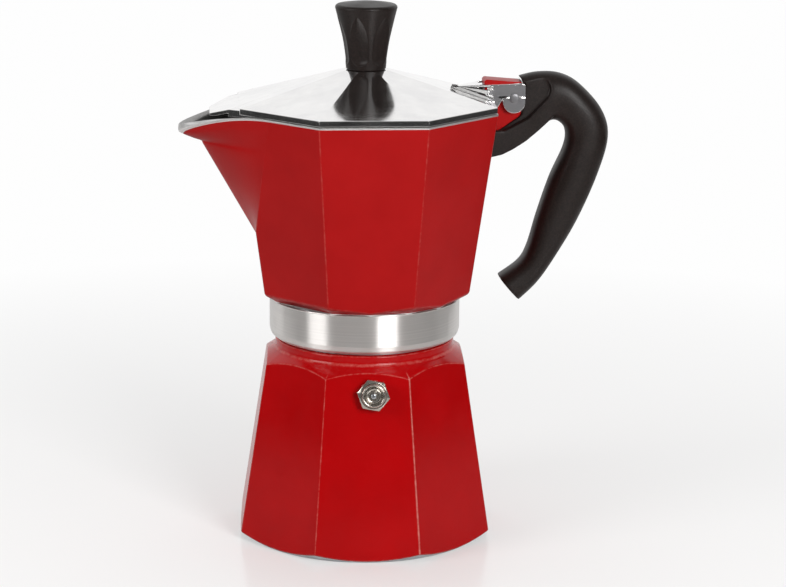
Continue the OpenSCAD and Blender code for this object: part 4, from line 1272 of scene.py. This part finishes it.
floor_material, floor_shader = finish_material("pale_floor", Roughness=0.2, IOR=1.4)
rays = node(floor_material, "LightPath")
seen = rays.outputs["Is Camera Ray"]
floor_tone = node(
    floor_material,
    "Mix",
    {"Factor": rays.outputs["Is Diffuse Ray"], 6: linear("#F6F5F4"), 7: linear("#A9A7A5")},
    data_type="RGBA",
)
connect(floor_material, floor_tone.outputs[2], floor_shader, "Base Color")
white = node(floor_material, "Emission", {"Color": (1, 1, 1, 1), "Strength": 1})
# Far from the pot the floor fades into the white backdrop
reach = node(
    floor_material,
    "VectorMath",
    {0: node(floor_material, "TexCoord").outputs["Object"]},
    operation="LENGTH",
)
fade = node(
    floor_material,
    "MapRange",
    {"Value": reach.outputs["Value"], "From Min": 0.07, "From Max": 0.5, "To Min": 0.35,
     "To Max": 0.97},
)
half_seen = node(floor_material, "Math", {0: seen, 1: fade.outputs[0]}, operation="MULTIPLY")
floor_mix = node(
    floor_material,
    "MixShader",
    {0: half_seen.outputs[0], 1: floor_shader.outputs[0], 2: white.outputs[0]},
)
floor_end = floor_material.node_tree.nodes["Material Output"]
connect(floor_material, floor_mix.outputs[0], floor_end, "Surface")


def sheet_on_floor(name, corners, material):
    mesh = bpy.data.meshes.new(name)
    mesh.from_pydata(corners, [], [tuple(range(len(corners)))])
    mesh.materials.append(material)
    made = bpy.data.objects.new(name, mesh)
    scene.collection.objects.link(made)
    return made


FLOOR_HALF = 12
FLAG_NEAR, FLAG_FAR, FLAG_UP = 0.5, 1.6, 0.004
sheet_on_floor(
    "floor",
    [(x * FLOOR_HALF, y * FLOOR_HALF, 0) for x, y in ((-1, -1), (1, -1), (1, 1), (-1, 1))],
    floor_material,
)
flag_material, _ = finish_material("black_flag", Base_Color=linear("#1A1A1A"), Roughness=0.9)
flag_turns = [math.radians(-90 + a) for a in range(-115, 116, 5)]
flag_edge = [
    (r * math.cos(a), r * math.sin(a), FLAG_UP)
    for r, turns in ((FLAG_FAR, flag_turns), (FLAG_NEAR, flag_turns[::-1]))
    for a in turns
]
flag = sheet_on_floor("flag", flag_edge, flag_material)
for rays_without_it in ("camera", "diffuse", "shadow", "transmission"):
    setattr(flag, "visible_" + rays_without_it, False)

world = bpy.data.worlds.new("studio")
scene.world = world
world.use_nodes = True
room = world.node_tree.nodes["Background"]
way = node(world, "SeparateXYZ", {0: node(world, "TexCoord").outputs["Generated"]})
behind = node(
    world,
    "MapRange",
    {"Value": way.outputs["Y"], "From Min": 0.0, "From Max": 0.55, "To Min": 0.12, "To Max": 1},
)
above = node(
    world,
    "MapRange",
    {"Value": way.outputs["Z"], "From Min": 0.5, "From Max": 0.9, "To Min": 0, "To Max": 0.4},
)
level = node(world, "Math", {0: behind.outputs[0], 1: above.outputs[0]}, operation="MAXIMUM")
connect(world, level.outputs[0], room, "Color")
room.inputs["Strength"].default_value = 1
# What is seen behind the pot, directly or through glass, is plain white
path = node(world, "LightPath")
direct = node(
    world,
    "Math",
    {0: path.outputs["Is Camera Ray"], 1: path.outputs["Is Transmission Ray"]},
    operation="MAXIMUM",
)
backdrop = node(world, "Background", {"Color": (1, 1, 1, 1), "Strength": 1})
room_mix = node(
    world, "MixShader", {0: direct.outputs[0], 1: room.outputs[0], 2: backdrop.outputs[0]}
)
connect(world, room_mix.outputs[0], world.node_tree.nodes["World Output"], "Surface")


POT_MIDDLE = Vector((0, 0, 0.11))


def softbox(name, turn, rise, distance, size, power):
    """A lamp at an angle right of the pot's front and a rise above the floor, aimed at it."""
    data = bpy.data.lights.new(name, "AREA")
    data.shape = "RECTANGLE"
    data.size, data.size_y = size
    data.energy = power
    made = bpy.data.objects.new(name, data)
    scene.collection.objects.link(made)
    a, b = math.radians(turn), math.radians(rise)
    away = Vector((math.sin(a) * math.cos(b), -math.cos(a) * math.cos(b), math.sin(b)))
    made.location = POT_MIDDLE + away * distance
    made.rotation_euler = (-away).to_track_quat("-Z", "Y").to_euler()
    made.visible_camera = False
    return made


softbox("right_softbox", 24, 20, 0.95, (0.36, 0.36), 6.2)
softbox("left_softbox", -62, 20, 0.95, (0.4, 0.36), 3.5)

scene.view_settings.view_transform = "Standard"
